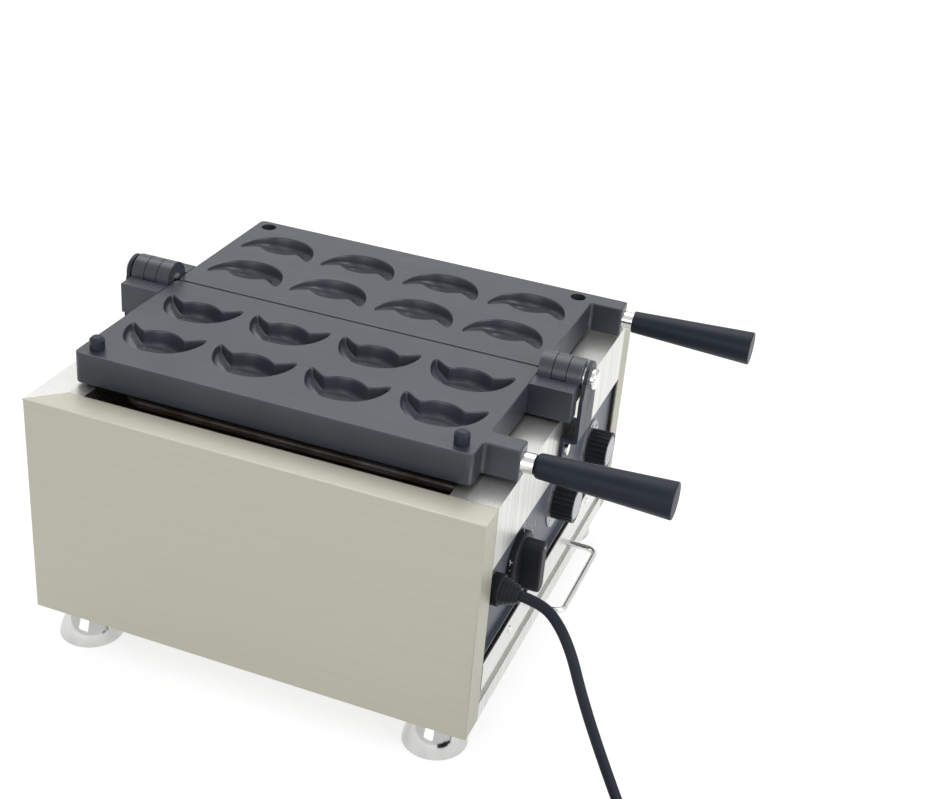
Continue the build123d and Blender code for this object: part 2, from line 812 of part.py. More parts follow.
# Handles: turned rod with a collar, and a tapered grip over its tang
for side, sign in (("left", -1), ("right", 1)):
    lug_y = mould_front_y - lug_length
    spindle = Plane(origin=(sign * handle_reach[side], lug_y, handle_z), x_dir=(0, -1, 0), z_dir=(1, 0, 0))
    spindle_axis = Axis(spindle.origin, (0, -1, 0))
    with BuildPart() as handle_rod:
        with BuildSketch(spindle) as section:
            with BuildLine():
                Polyline(
                    (-rod_in_lug + seam, 0),
                    (-rod_in_lug + seam, rod_radius),
                    (0, rod_radius),
                    (0, collar_radius),
                    (collar_length, collar_radius),
                    (collar_length, rod_radius),
                    (collar_length + rod_in_grip - seam, rod_radius),
                    (collar_length + rod_in_grip - seam, 0),
                    close=True,
                )
            make_face()
            fillet(section.vertices().group_by(Axis.Z)[0].sort_by(Axis.Y)[:2], radius=collar_round)
        revolve(axis=spindle_axis)
    handle_rod.part.label = f"handle_rod_{side}"
    export_step(handle_rod.part, f"parts/handle_rod_{side}.step")

    with BuildPart() as grip:
        with BuildSketch(spindle) as section:
            with BuildLine():
                Polyline(
                    (collar_length, 0),
                    (collar_length, grip_root_radius),
                    (collar_length + grip_length, grip_end_radius),
                    (collar_length + grip_length, 0),
                    close=True,
                )
            make_face()
            outer = section.vertices().sort_by(Axis.Z)[:2].sort_by(Axis.Y)
            fillet(outer[0], radius=grip_round)
            fillet(section.vertices().sort_by(Axis.Y)[-1], radius=collar_round)
        revolve(axis=spindle_axis)
        grip_mouth = Plane(
            origin=spindle.origin - Vector(0, collar_length, 0),
            x_dir=(1, 0, 0),
            z_dir=(0, 1, 0),
        )
        with Locations(grip_mouth):
            Hole(rod_radius + rod_clearance, depth=rod_in_grip)
    grip.part.label = f"grip_{side}"
    export_step(grip.part, f"parts/grip_{side}.step")

# Timer: skirt and bar grip on its shaft, and the clockwork can behind the panel
dial_face_y = panel_y - dial_thickness
with BuildPart() as timer_knob:
    with BuildSketch(control_plane(timer_x, panel_y - knob_gap)):
        Circle(timer_skirt_radius)
    extrude(amount=timer_skirt)
    fillet(timer_knob.faces().sort_by(Axis.Y)[0].edges(), radius=timer_skirt_round)
    with BuildSketch(control_plane(timer_x, panel_y - knob_gap - timer_skirt)):
        RectangleRounded(timer_bar_width, timer_bar_length, radius=timer_bar_round)
    extrude(amount=timer_bar_height)
    fillet(timer_knob.faces().sort_by(Axis.Y)[0].edges(), radius=timer_bar_edge)
    with Locations(Plane(origin=(timer_x, panel_y - knob_gap, control_z), x_dir=(1, 0, 0), z_dir=(0, 1, 0))):
        Hole(shaft_radius, depth=timer_shaft_in_knob)
timer_knob.part.label = "timer_knob"
export_step(timer_knob.part, "parts/timer_knob.step")

with BuildPart() as timer_shaft:
    with BuildSketch(control_plane(timer_x, panel_y + sheet + seam)):
        Circle(shaft_radius)
    extrude(amount=sheet + seam + knob_gap + timer_shaft_in_knob)
timer_shaft.part.label = "timer_shaft"
export_step(timer_shaft.part, "parts/timer_shaft.step")

with BuildPart() as timer_body:
    with BuildSketch(control_plane(timer_x, panel_y + sheet + timer_can_length)):
        Circle(timer_can_radius)
    extrude(amount=timer_can_length)
    fillet(timer_body.edges().filter_by(GeomType.CIRCLE), radius=sheet)
    with BuildSketch(control_plane(timer_x, panel_y + sheet)):
        Circle(shaft_radius + shaft_well)
    extrude(amount=-shaft_well, mode=Mode.SUBTRACT)
timer_body.part.label = "timer_body"
export_step(timer_body.part, "parts/timer_body.step")

# Scale plates and switch bodies of the two thermostats
thermostat_places = {"left": thermostat_left_x, "right": thermostat_right_x}
with BuildPart() as dial_plates:
    for centre_x in thermostat_places.values():
        with BuildSketch(control_plane(centre_x, panel_y)):
            Circle(dial_radius)
            Circle(shaft_radius + shaft_well, mode=Mode.SUBTRACT)
        extrude(amount=dial_thickness)
dial_plates.part.label = "dial_plates"
export_step(dial_plates.part, "parts/dial_plates.step")

with BuildPart() as thermostat_bodies:
    for centre_x in thermostat_places.values():
        with BuildSketch(control_plane(centre_x, panel_y + sheet + thermostat_length)):
            RectangleRounded(thermostat_size, thermostat_size, radius=thermostat_round)
        extrude(amount=thermostat_length)
        with BuildSketch(control_plane(centre_x, panel_y + sheet)):
            Circle(shaft_radius + shaft_well)
        extrude(amount=-shaft_well, mode=Mode.SUBTRACT)
thermostat_bodies.part.label = "thermostat_bodies"
export_step(thermostat_bodies.part, "parts/thermostat_bodies.step")

# Thermostat knobs: fluted, with a face disc, turning with their shafts
knob_foot_y = dial_face_y - knob_gap
for side, centre_x in thermostat_places.items():
    with BuildPart() as thermostat_knob:
        with BuildSketch(control_plane(centre_x, knob_foot_y)):
            Circle(knob_radius)
            with PolarLocations(knob_radius, knob_flutes):
                Circle(flute_radius, mode=Mode.SUBTRACT)
        extrude(amount=knob_height)
        with BuildSketch(control_plane(centre_x, knob_foot_y - knob_height)):
            Circle(cap_radius)
        extrude(amount=-cap_recess, mode=Mode.SUBTRACT)
        with BuildSketch(control_plane(centre_x, knob_foot_y)):
            Circle(shaft_radius)
        extrude(amount=thermostat_shaft_in_knob, mode=Mode.SUBTRACT)
    thermostat_knob.part.label = f"thermostat_knob_{side}"
    export_step(thermostat_knob.part, f"parts/thermostat_knob_{side}.step")

    with BuildPart() as knob_cap:
        with BuildSketch(control_plane(centre_x, knob_foot_y - knob_height + cap_recess)):
            Circle(cap_radius)
        extrude(amount=cap_thickness)
        fillet(knob_cap.faces().sort_by(Axis.Y)[0].edges(), radius=cap_thickness / 3)
    knob_cap.part.label = f"knob_cap_{side}"
    export_step(knob_cap.part, f"parts/knob_cap_{side}.step")

    with BuildPart() as thermostat_shaft:
        with BuildSketch(control_plane(centre_x, panel_y + sheet + seam)):
            Circle(shaft_radius)
        extrude(amount=sheet + seam + dial_thickness + knob_gap + thermostat_shaft_in_knob)
    thermostat_shaft.part.label = f"thermostat_shaft_{side}"
    export_step(thermostat_shaft.part, f"parts/thermostat_shaft_{side}.step")

# Sensor bulbs of the two thermostats, lying on the reflector pan between the elements
bulb_z = reflector_z + sheet + bulb_radius
with BuildPart() as sensor_bulbs:
    for sign in (-1, 1):
        with BuildSketch(Plane.XZ.offset(-(mould_y - bulb_length / 2))):
            with Locations((sign * bulb_x, bulb_z)):
                Circle(bulb_radius)
        extrude(amount=-bulb_length)
    fillet(sensor_bulbs.edges().filter_by(GeomType.CIRCLE), radius=bulb_radius * 0.8)
sensor_bulbs.part.label = "sensor_bulbs"
export_step(sensor_bulbs.part, "parts/sensor_bulbs.step")

# Terminal block on the base pan
base_pan_top_z = floor_z + sheet
with BuildPart() as terminal_block:
    with BuildSketch(Plane.XY.offset(base_pan_top_z)):
        with Locations((terminal_x, terminal_y)):
            RectangleRounded(terminal_length, terminal_width, radius=terminal_round)
    extrude(amount=terminal_height)
    with BuildSketch(Plane.XY.offset(base_pan_top_z + terminal_height)):
        with Locations((terminal_x, terminal_y)):
            with GridLocations(terminal_length / 3, terminal_width / 2, 3, 2):
                Circle(terminal_screw_radius)
    extrude(amount=-terminal_screw_depth, mode=Mode.SUBTRACT)
terminal_block.part.label = "terminal_block"
export_step(terminal_block.part, "parts/terminal_block.step")

# Cable gland through the panel, its nut behind, and the cord gripped in its bore
with BuildPart() as cable_gland:
    with BuildSketch(gland_plane(panel_y)):
        Circle(gland_base_radius)
    extrude(amount=gland_base)
    fillet(cable_gland.edges().filter_by(GeomType.CIRCLE).sort_by(Axis.Y)[0], radius=gland_base_round)
    with BuildSketch(gland_plane(panel_y - gland_base)):
        Circle(gland_dome_radius)
    extrude(amount=gland_dome, taper=gland_dome_taper)
    fillet(cable_gland.faces().sort_by(Axis.Y)[0].edges(), radius=gland_dome_round)
    with BuildSketch(gland_plane(panel_y + gland_thread)):
        Circle(gland_thread_radius)
    extrude(amount=gland_thread)
    with BuildSketch(gland_plane(panel_y + gland_thread)):
        Circle(cord_radius)
    extrude(amount=gland_thread + gland_base + gland_dome, mode=Mode.SUBTRACT)
cable_gland.part.label = "cable_gland"
export_step(cable_gland.part, "parts/cable_gland.step")

with BuildPart() as gland_nut_ring:
    with BuildSketch(gland_plane(panel_y + sheet + gland_nut)):
        RegularPolygon(gland_nut_radius, 6)
        Circle(gland_thread_radius, mode=Mode.SUBTRACT)
    extrude(amount=gland_nut)
gland_nut_ring.part.label = "gland_nut"
export_step(gland_nut_ring.part, "parts/gland_nut.step")

# Power cord: down the cabinet's corner, one table-resting run, then a loose flat coil
cord_z = cord_radius + cord_lift
cord_route = [
    (gland_x, gland_mouth_y, gland_z),
    (-143.0, -171.0, gland_z - 1.0),
    (-152.0, -187.0, 128.0),
    (-161.0, -200.0, 114.0),
    (-168.0, -210.0, 95.0),
    (-174.0, -221.0, 75.0),
    (-179.0, -232.0, 56.0),
    (-184.0, -243.0, 38.0),
    (-190.0, -254.0, 22.0),
    (-199.0, -266.0, 10.0),
    (-211.0, -277.0, 4.7),
    (-226.0, -284.0, cord_z),
    (-242.0, -287.2, cord_z),
    (-256.0, -288.0, cord_z),
    (-268.0, -288.0, cord_z),
]


def corner_radii(points):
    """Radius of each inner corner of a route, so that its arcs and runs follow one another."""
    radii = []
    for before, corner, after in zip(points, points[1:], points[2:]):
        run_in = Vector(*corner) - Vector(*before)
        run_out = Vector(*after) - Vector(*corner)
        half_turn = math.radians(run_in.get_angle(run_out)) / 2
        radii.append(0.45 * min(run_in.length, run_out.length) / math.tan(half_turn))
    return radii


radii = corner_radii(cord_route)
with BuildPart() as power_cord:
    with BuildLine() as route:
        FilletPolyline(*cord_route, radius=radii)
    with BuildSketch(Plane(origin=route.wire() @ 0, z_dir=route.wire() % 0)):
        Circle(cord_radius)
    sweep()
    with BuildSketch(gland_plane(gland_mouth_y)):
        Circle(cord_radius)
    extrude(amount=-(gland_base + gland_dome + gland_thread))
cord_length = route.wire().length + gland_base + gland_dome + gland_thread
cord_section = math.pi * cord_radius**2
print("cord radii", [round(radius, 1) for radius in radii])
print("cord volume / length x section", round(power_cord.part.volume / (cord_length * cord_section), 4))
power_cord.part.label = "power_cord"
export_step(power_cord.part, "parts/power_cord.step")

# Coil: half turns about two centres, inward on the table, outward again one layer up
coil_start = cord_route[-1]
coil_step = cord_radius + coil_gap / 2
inward = [coil_outer_radius - turn * coil_step for turn in range(coil_half_turns // 2 - 1)]
climb_radius = inward[-1] - coil_step
exit_radius = coil_outer_radius + (plug_width / 2 + cord_radius + plug_clearance) / 2
coil_radii = inward + [climb_radius] + inward[::-1] + [exit_radius]
layer_height = 2 * coil_step
coil_points = [coil_start, (coil_start[0] - 2 * cord_radius, coil_start[1], cord_z)]
heading = -1
x, y, z = coil_points[-1]
arcs = []
for turn, radius in enumerate(coil_radii):
    climbs = turn == len(inward)
    middle = (x + heading * radius, y - heading * radius, z + (layer_height / 2 if climbs else 0))
    finish = (x, y - heading * 2 * radius, z + (layer_height if climbs else 0))
    arcs.append(((x, y, z), middle, finish))
    x, y, z = finish
    heading = -heading
coil_end = (x + heading * 2 * cord_radius, y, z)
coil_trim = (coil_end[0] + heading * cord_radius, y, z)
plug_plane = Plane(origin=coil_end, x_dir=(0, heading, 0), z_dir=(heading, 0, 0))
with BuildPart() as cord_coil:
    with BuildLine() as loops:
        Line(coil_points[0], coil_points[1])
        for start, middle, finish in arcs:
            ThreePointArc(start, middle, finish)
        Line((x, y, z), coil_trim)
    with BuildSketch(Plane(origin=coil_start, z_dir=(-1, 0, 0))):
        Circle(cord_radius)
    sweep()
    with BuildSketch(plug_plane):
        Circle(plug_waist_radius)
    extrude(amount=2 * cord_radius, mode=Mode.SUBTRACT)
samples = 1600
along = [loops.wire() @ (step / samples) for step in range(samples + 1)]
spacing = loops.wire().length / samples
skip = int(6 * cord_radius / spacing)
nearest = min(
    (along[first] - along[second]).length
    for first in range(0, samples, 2)
    for second in range(first + skip, samples + 1, 2)
)
coil_length = loops.wire().length - cord_radius
print("coil radii", coil_radii, "least self gap", round(nearest - 2 * cord_radius, 2))
print("coil volume / length x section", round(cord_coil.part.volume / (coil_length * cord_section), 4))
cord_coil.part.label = "cord_coil"
export_step(cord_coil.part, "parts/cord_coil.step")

# Moulded plug lying flat at the coil's end, with two blades and an earth pin
plug_height = 2 * (coil_end[2] - cord_lift)
with BuildPart() as plug_body:
    with BuildSketch(plug_plane):
        Circle(plug_waist_radius)
    with BuildSketch(plug_plane.offset(plug_neck)):
        RectangleRounded(plug_width, plug_height, radius=plug_round)
    loft()
    with BuildSketch(plug_plane.offset(plug_neck)):
        RectangleRounded(plug_width, plug_height, radius=plug_round)
    extrude(amount=plug_length - plug_neck)
    fillet(plug_body.faces().sort_by(Axis.X)[0].edges(), radius=plug_face_round)
plug_body.part.label = "plug_body"
export_step(plug_body.part, "parts/plug_body.step")

with BuildPart() as plug_pins:
    with BuildSketch(plug_plane.offset(plug_length)):
        with Locations((0, blade_drop)):
            with GridLocations(blade_pitch, 1, 2, 1):
                Rectangle(blade_thickness, blade_width)
    extrude(amount=blade_length)
    with BuildSketch(plug_plane.offset(plug_length)):
        with Locations((0, blade_drop + earth_pin_rise)):
            Circle(earth_pin_radius)
    extrude(amount=earth_pin_length)
plug_pins.part.label = "plug_pins"
export_step(plug_pins.part, "parts/plug_pins.step")

# Feet: spun bells around a bolted hub
for place, (foot_x, foot_y) in foot_places.items():
    foot_plane = Plane(origin=(foot_x, foot_y, 0), x_dir=(1, 0, 0), z_dir=(0, -1, 0))
    with BuildPart() as foot:
        with BuildSketch(foot_plane) as section:
            with BuildLine():
                Line((foot_radius - foot_wall, 0), (foot_radius, 0))
                ThreePointArc(
                    (foot_radius, 0),
                    (foot_waist_radius, foot_waist),
                    (foot_top_radius, foot_height),
                )
                Polyline(
                    (foot_top_radius, foot_height),
                    (0, foot_height),
                    (0, foot_height - foot_wall),
                    (foot_top_radius - foot_wall, foot_height - foot_wall),
                )
                ThreePointArc(
                    (foot_top_radius - foot_wall, foot_height - foot_wall),
                    (foot_waist_radius - foot_wall, foot_waist),
                    (foot_radius - foot_wall, 0),
                )
            make_face()
        revolve(axis=Axis((foot_x, foot_y, 0), (0, 0, 1)))
        with BuildSketch(Plane.XY.offset(foot_height - foot_wall)):
            with Locations((foot_x, foot_y)):
                Circle(foot_hub_radius)
        extrude(amount=-foot_hub_depth)
        with BuildSketch(Plane.XY.offset(foot_height)):
            with Locations((foot_x, foot_y)):
                Circle(foot_bolt_radius + rod_clearance)
        extrude(amount=-(foot_wall + foot_hub_depth), mode=Mode.SUBTRACT)
    foot.part.label = f"foot_{place}"
    export_step(foot.part, f"parts/foot_{place}.step")

with BuildPart() as foot_bolts:
    for foot_x, foot_y in foot_places.values():
        with BuildSketch(Plane.XY.offset(foot_height - foot_wall - foot_hub_depth)):
            with Locations((foot_x, foot_y)):
                Circle(foot_bolt_radius)
        extrude(amount=foot_wall + foot_hub_depth + sheet + foot_nut_height + foot_bolt_end)
        with BuildSketch(Plane.XY.offset(foot_height - foot_wall - foot_hub_depth)):
            with Locations((foot_x, foot_y)):
                RegularPolygon(foot_nut_radius, 6)
        extrude(amount=-foot_bolt_head)
foot_bolts.part.label = "foot_bolts"
export_step(foot_bolts.part, "parts/foot_bolts.step")

with BuildPart() as foot_nuts:
    for foot_x, foot_y in foot_places.values():
        with BuildSketch(Plane.XY.offset(foot_height + sheet)):
            with Locations((foot_x, foot_y)):
                RegularPolygon(foot_nut_radius, 6)
                Circle(foot_bolt_radius, mode=Mode.SUBTRACT)
        extrude(amount=foot_nut_height)
foot_nuts.part.label = "foot_nuts"
export_step(foot_nuts.part, "parts/foot_nuts.step")
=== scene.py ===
"""Looks of a double-sided ingot waffle machine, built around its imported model.

Metres, +Z up. The controls and grips face -Y and the hinge pins lie along Y above x = 0.
Each sub-assembly is a class that dresses its own nodes and adds the fine pieces on them.
"""

import logging
import math
from dataclasses import dataclass
from enum import Enum
from typing import Protocol

import bmesh
import bpy
from mathutils import Matrix, Vector, geometry


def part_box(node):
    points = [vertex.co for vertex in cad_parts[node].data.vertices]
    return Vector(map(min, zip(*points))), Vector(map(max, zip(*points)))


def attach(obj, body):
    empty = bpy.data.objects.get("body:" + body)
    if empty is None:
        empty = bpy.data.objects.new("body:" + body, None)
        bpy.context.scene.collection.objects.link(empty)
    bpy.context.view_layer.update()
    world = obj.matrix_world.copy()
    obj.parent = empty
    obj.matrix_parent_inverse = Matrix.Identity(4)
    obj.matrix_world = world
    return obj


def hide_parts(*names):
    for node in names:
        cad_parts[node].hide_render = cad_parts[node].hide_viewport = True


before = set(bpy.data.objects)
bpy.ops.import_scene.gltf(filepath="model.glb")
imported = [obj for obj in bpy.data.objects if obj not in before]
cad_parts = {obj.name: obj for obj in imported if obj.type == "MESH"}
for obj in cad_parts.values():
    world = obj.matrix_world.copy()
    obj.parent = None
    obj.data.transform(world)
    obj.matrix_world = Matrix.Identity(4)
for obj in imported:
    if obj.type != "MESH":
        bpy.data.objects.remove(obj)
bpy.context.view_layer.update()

log = logging.getLogger("waffle_machine")

MM = 0.001
SMOOTH_ANGLE = math.radians(35.0)
FLAT_AREA = 4e-5  # square metres; a larger face is part of a flat side and shades flat
Colour = tuple[float, float, float]
Point = tuple[float, float, float]
Socket = bpy.types.NodeSocket


class Axis(Enum):
    """Direction along which a finish is brushed or a solid is turned."""

    X = 0
    Y = 1
    Z = 2


class Nodes:
    """A node tree under construction."""

    def __init__(self, tree: bpy.types.NodeTree) -> None:
        """Take up a tree.

        Args:
            tree: The tree that nodes are added to.
        """
        self.tree = tree

    def add(self, kind: str, **settings: object) -> bpy.types.Node:
        """Add a node and set its plain attributes.

        Args:
            kind: The node's type name, without the leading ShaderNode.
            settings: Attribute values.

        Returns:
            The new node.
        """
        node = self.tree.nodes.new(f"ShaderNode{kind}")
        for key, value in settings.items():
            setattr(node, key, value)
        return node

    def join(self, source: Socket, target: Socket) -> None:
        """Link two sockets."""
        self.tree.links.new(source, target)

    def ramp(self, source: Socket, low: float, high: float, to: tuple[float, float]) -> Socket:
        """Map a factor's stretch from low to high onto two values.

        Args:
            source: The factor.
            low: Value of the factor that gives to[0].
            high: Value of the factor that gives to[1].
            to: The two results.

        Returns:
            The mapped value's socket.
        """
        node = self.add("MapRange")
        for name, value in zip(("From Min", "From Max", "To Min", "To Max"), (low, high, *to)):
            node.inputs[name].default_value = value
        self.join(source, node.inputs["Value"])
        return node.outputs["Result"]

    def direct_view(self) -> Socket:
        """Tell the rays that show the white background from the rest.

        Returns:
            Factor that is 1 for camera, glossy and transmission rays.
        """
        rays = self.add("LightPath")
        found = rays.outputs["Is Camera Ray"]
        for kind in ("Is Glossy Ray", "Is Transmission Ray"):
            either = self.add("Math", operation="MAXIMUM")
            self.join(found, either.inputs[0])
            self.join(rays.outputs[kind], either.inputs[1])
            found = either.outputs[0]
        return found


class Shader(Nodes):
    """One material under construction: a node tree around a Principled shader."""

    def __init__(self, name: str) -> None:
        """Start an empty material.

        Args:
            name: The material's name.
        """
        self.material = bpy.data.materials.new(name)
        self.material.use_nodes = True
        super().__init__(self.material.node_tree)
        self.surface = self.tree.nodes["Principled BSDF"]
        self.place = self.add("TexCoord").outputs["Object"]

    def set(self, **values: object) -> None:
        """Set the shader's own sockets; underscores stand for spaces in their names."""
        for key, value in values.items():
            socket = self.surface.inputs[key.replace("_", " ")]
            is_colour = socket.type == "RGBA" and len(value) == 3
            socket.default_value = (*value, 1.0) if is_colour else value

    def stretched(self, scale: Point) -> Socket:
        """Object coordinates scaled per axis.

        Args:
            scale: Factor along X, Y and Z.

        Returns:
            The scaled vector.
        """
        mapping = self.add("Mapping")
        mapping.inputs["Scale"].default_value = scale
        self.join(self.place, mapping.inputs["Vector"])
        return mapping.outputs["Vector"]

    def noise(self, scale: float, detail: float = 3.0, vector: Socket | None = None) -> Socket:
        """Fractal noise.

        Args:
            scale: Cells per metre.
            detail: Octaves.
            vector: Where it is read, object coordinates if left out.

        Returns:
            The noise factor's socket.
        """
        node = self.add("TexNoise")
        node.inputs["Scale"].default_value = scale
        node.inputs["Detail"].default_value = detail
        self.join(vector or self.place, node.inputs["Vector"])
        return node.outputs["Fac"]

    def blend(self, factor: Socket, first: Colour | Socket, second: Colour) -> Socket:
        """Mix two colours by a factor.

        Args:
            factor: 0 gives the first colour and 1 the second.
            first: A linear colour, or the socket of one.
            second: A linear colour.

        Returns:
            The mixed colour's socket.
        """
        node = self.add("Mix", data_type="RGBA")
        below, above = node.inputs[6], node.inputs[7]
        if isinstance(first, Socket):
            self.join(first, below)
        else:
            below.default_value = (*first, 1.0)
        above.default_value = (*second, 1.0)
        self.join(factor, node.inputs[0])
        return node.outputs[2]

    def colour(self, source: Socket) -> None:
        """Use a socket as the base colour."""
        self.join(source, self.surface.inputs["Base Color"])

    def rough(self, source: Socket) -> None:
        """Use a socket as the roughness."""
        self.join(source, self.surface.inputs["Roughness"])

    def bump(self, height: Socket, depth_mm: float, strength: float = 0.4) -> None:
        """Raise the surface by a height factor.

        Args:
            height: Height from 0 to 1.
            depth_mm: Height that 1 stands for, in millimetres.
            strength: Share of the bump that shows.
        """
        node = self.add("Bump")
        node.inputs["Distance"].default_value = depth_mm * MM
        node.inputs["Strength"].default_value = strength
        self.join(height, node.inputs["Height"])
        if self.surface.inputs["Normal"].is_linked:
            earlier = self.surface.inputs["Normal"].links[0].from_socket
            self.join(earlier, node.inputs["Normal"])
        self.join(node.outputs["Normal"], self.surface.inputs["Normal"])


class Finish(Protocol):
    """Anything that can be laid on a surface."""

    name: str

    def material(self) -> bpy.types.Material:
        """Build the node material.

        Returns:
            The new material.
        """


@dataclass(frozen=True)
class BrushedSteel:
    """Stainless sheet with a fine straight grain.

    Attributes:
        name: Material name.
        tint: Linear base colour.
        grain: Axis that the brushing runs along.
        roughness: Mean roughness.
        metallic: Share of metal in the shader.
        grain_depth_mm: Depth of the brushed lines.
        contrast: Strength of the grain's light and dark lines.
        spacing: Lines of the broad grain per metre.
        line_spacing: Lines of the fine grain per metre.
    """

    name: str
    tint: Colour
    grain: Axis
    roughness: float = 0.36
    metallic: float = 1.0
    grain_depth_mm: float = 0.02
    contrast: float = 0.06
    spacing: float = 700.0
    line_spacing: float = 2600.0

    def streaks(self, shader: Shader, spacing: float, stretch: float, detail: float) -> Socket:
        """Noise drawn out along the grain.

        Args:
            shader: The shader that it is for.
            spacing: Lines per metre.
            stretch: Length of a line in line widths.
            detail: Octaves.

        Returns:
            The noise factor's socket.
        """
        scale = [spacing] * 3
        scale[self.grain.value] /= stretch
        return shader.noise(1.0, detail, shader.stretched(tuple(scale)))

    def material(self) -> bpy.types.Material:
        """Build the node material.

        Returns:
            The new material.
        """
        shader = Shader(self.name)
        lines = self.streaks(shader, self.line_spacing, 90.0, 2.0)
        bands = self.streaks(shader, self.spacing, 120.0, 3.0)
        cloud = shader.noise(7.0, 3.0)
        dark = tuple(channel * (1.0 - self.contrast) for channel in self.tint)
        light = tuple(min(1.0, channel * (1.0 + self.contrast * 0.6)) for channel in self.tint)
        base = shader.blend(shader.ramp(bands, 0.35, 0.65, (0.0, 1.0)), dark, light)
        shader.colour(shader.blend(shader.ramp(cloud, 0.45, 0.8, (0.0, 0.2)), base, dark))
        shader.rough(shader.ramp(lines, 0.3, 0.7, (self.roughness - 0.05, self.roughness + 0.07)))
        shader.bump(lines, self.grain_depth_mm, 0.25)
        shader.set(Metallic=self.metallic)
        return shader.material


@dataclass(frozen=True)
class CoatedCasting:
    """Machined casting under a satin non-stick coat, with faint pitting and rubbed patches.

    Attributes:
        name: Material name.
        body: Linear colour of the coat.
        rubbed: Linear colour where it is rubbed.
        roughness: Mean roughness.
        coat: Weight of the clear top layer.
        gloss: Strength of the body's own reflection.
    """

    name: str
    body: Colour
    rubbed: Colour
    roughness: float = 0.42
    coat: float = 0.25
    gloss: float = 0.25

    def material(self) -> bpy.types.Material:
        """Build the node material.

        Returns:
            The new material.
        """
        shader = Shader(self.name)
        pits = shader.noise(1500.0, 4.0)
        cloud = shader.noise(16.0, 4.0)
        smear = shader.noise(1.0, 3.0, shader.stretched((130.0, 24.0, 60.0)))
        base = shader.blend(shader.ramp(cloud, 0.4, 0.72, (0.0, 0.55)), self.body, self.rubbed)
        speck = shader.ramp(pits, 0.6, 0.78, (0.0, 0.5))
        shader.colour(shader.blend(speck, base, self.rubbed))
        shader.rough(shader.ramp(smear, 0.3, 0.75, (self.roughness - 0.05, self.roughness + 0.1)))
        shader.bump(pits, 0.05, 0.35)
        shader.set(Specular_IOR_Level=self.gloss, Coat_Weight=self.coat, Coat_Roughness=0.3)
        return shader.material


@dataclass(frozen=True)
class PolishedMetal:
    """Turned, spun or plated metal with faint turning marks.

    Attributes:
        name: Material name.
        tint: Linear base colour.
        roughness: Mean roughness.
        mark_depth_mm: Depth of the turning marks.
    """

    name: str
    tint: Colour
    roughness: float = 0.1
    mark_depth_mm: float = 0.01

    def material(self) -> bpy.types.Material:
        """Build the node material.

        Returns:
            The new material.
        """
        shader = Shader(self.name)
        haze = shader.noise(60.0, 4.0)
        marks = shader.noise(1.0, 2.0, shader.stretched((300.0, 300.0, 2600.0)))
        dull = tuple(channel * 0.9 for channel in self.tint)
        shader.colour(shader.blend(shader.ramp(haze, 0.4, 0.7, (0.0, 1.0)), self.tint, dull))
        shader.rough(shader.ramp(haze, 0.35, 0.7, (self.roughness, self.roughness + 0.08)))
        shader.bump(marks, self.mark_depth_mm, 0.2)
        shader.set(Metallic=1.0)
        return shader.material


@dataclass(frozen=True)
class MouldedPlastic:
    """Moulded plastic or rubber with a fine spark-eroded grain.

    Attributes:
        name: Material name.
        tint: Linear base colour.
        worn: Linear colour of the handled patches.
        roughness: Mean roughness.
        grain_depth_mm: Depth of the grain.
        grain_scale: Grains per metre.
        gloss: Strength of the surface's own reflection.
    """

    name: str
    tint: Colour
    worn: Colour
    roughness: float = 0.45
    grain_depth_mm: float = 0.04
    grain_scale: float = 1900.0
    gloss: float = 0.22

    def material(self) -> bpy.types.Material:
        """Build the node material.

        Returns:
            The new material.
        """
        shader = Shader(self.name)
        grain = shader.noise(self.grain_scale, 3.0)
        patches = shader.noise(22.0, 4.0)
        shader.colour(shader.blend(shader.ramp(patches, 0.45, 0.75, (0.0, 0.8)), self.tint, self.worn))
        shader.rough(shader.ramp(patches, 0.35, 0.7, (self.roughness, self.roughness + 0.12)))
        shader.bump(grain, self.grain_depth_mm, 0.35)
        shader.set(Specular_IOR_Level=self.gloss)
        return shader.material


@dataclass(frozen=True)
class HeatTinted:
    """Metal sheath or pan browned by heat.

    Attributes:
        name: Material name.
        cold: Linear colour of the clean metal.
        hot: Linear colour of the browned metal.
        roughness: Mean roughness.
        metallic: Share of metal in the shader.
    """

    name: str
    cold: Colour
    hot: Colour
    roughness: float = 0.45
    metallic: float = 0.85

    def material(self) -> bpy.types.Material:
        """Build the node material.

        Returns:
            The new material.
        """
        shader = Shader(self.name)
        stain = shader.noise(28.0, 5.0)
        scale = shader.noise(420.0, 3.0)
        shader.colour(shader.blend(shader.ramp(stain, 0.38, 0.66, (0.0, 1.0)), self.cold, self.hot))
        shader.rough(shader.ramp(scale, 0.3, 0.7, (self.roughness - 0.06, self.roughness + 0.14)))
        shader.bump(scale, 0.05, 0.4)
        shader.set(Metallic=self.metallic)
        return shader.material


@dataclass(frozen=True)
class PanelFoil:
    """Printed control panel: satin lacquer with a fine orange peel.

    Attributes:
        name: Material name.
        tint: Linear colour.
        roughness: Mean roughness.
    """

    name: str
    tint: Colour
    roughness: float = 0.38

    def material(self) -> bpy.types.Material:
        """Build the node material.

        Returns:
            The new material.
        """
        shader = Shader(self.name)
        peel = shader.noise(900.0, 2.0)
        cloud = shader.noise(12.0, 3.0)
        dark = tuple(channel * 0.86 for channel in self.tint)
        shader.colour(shader.blend(shader.ramp(cloud, 0.4, 0.7, (0.0, 1.0)), self.tint, dark))
        shader.rough(shader.ramp(cloud, 0.35, 0.7, (self.roughness, self.roughness + 0.08)))
        shader.bump(peel, 0.02, 0.3)
        shader.set(Metallic=0.25)
        return shader.material


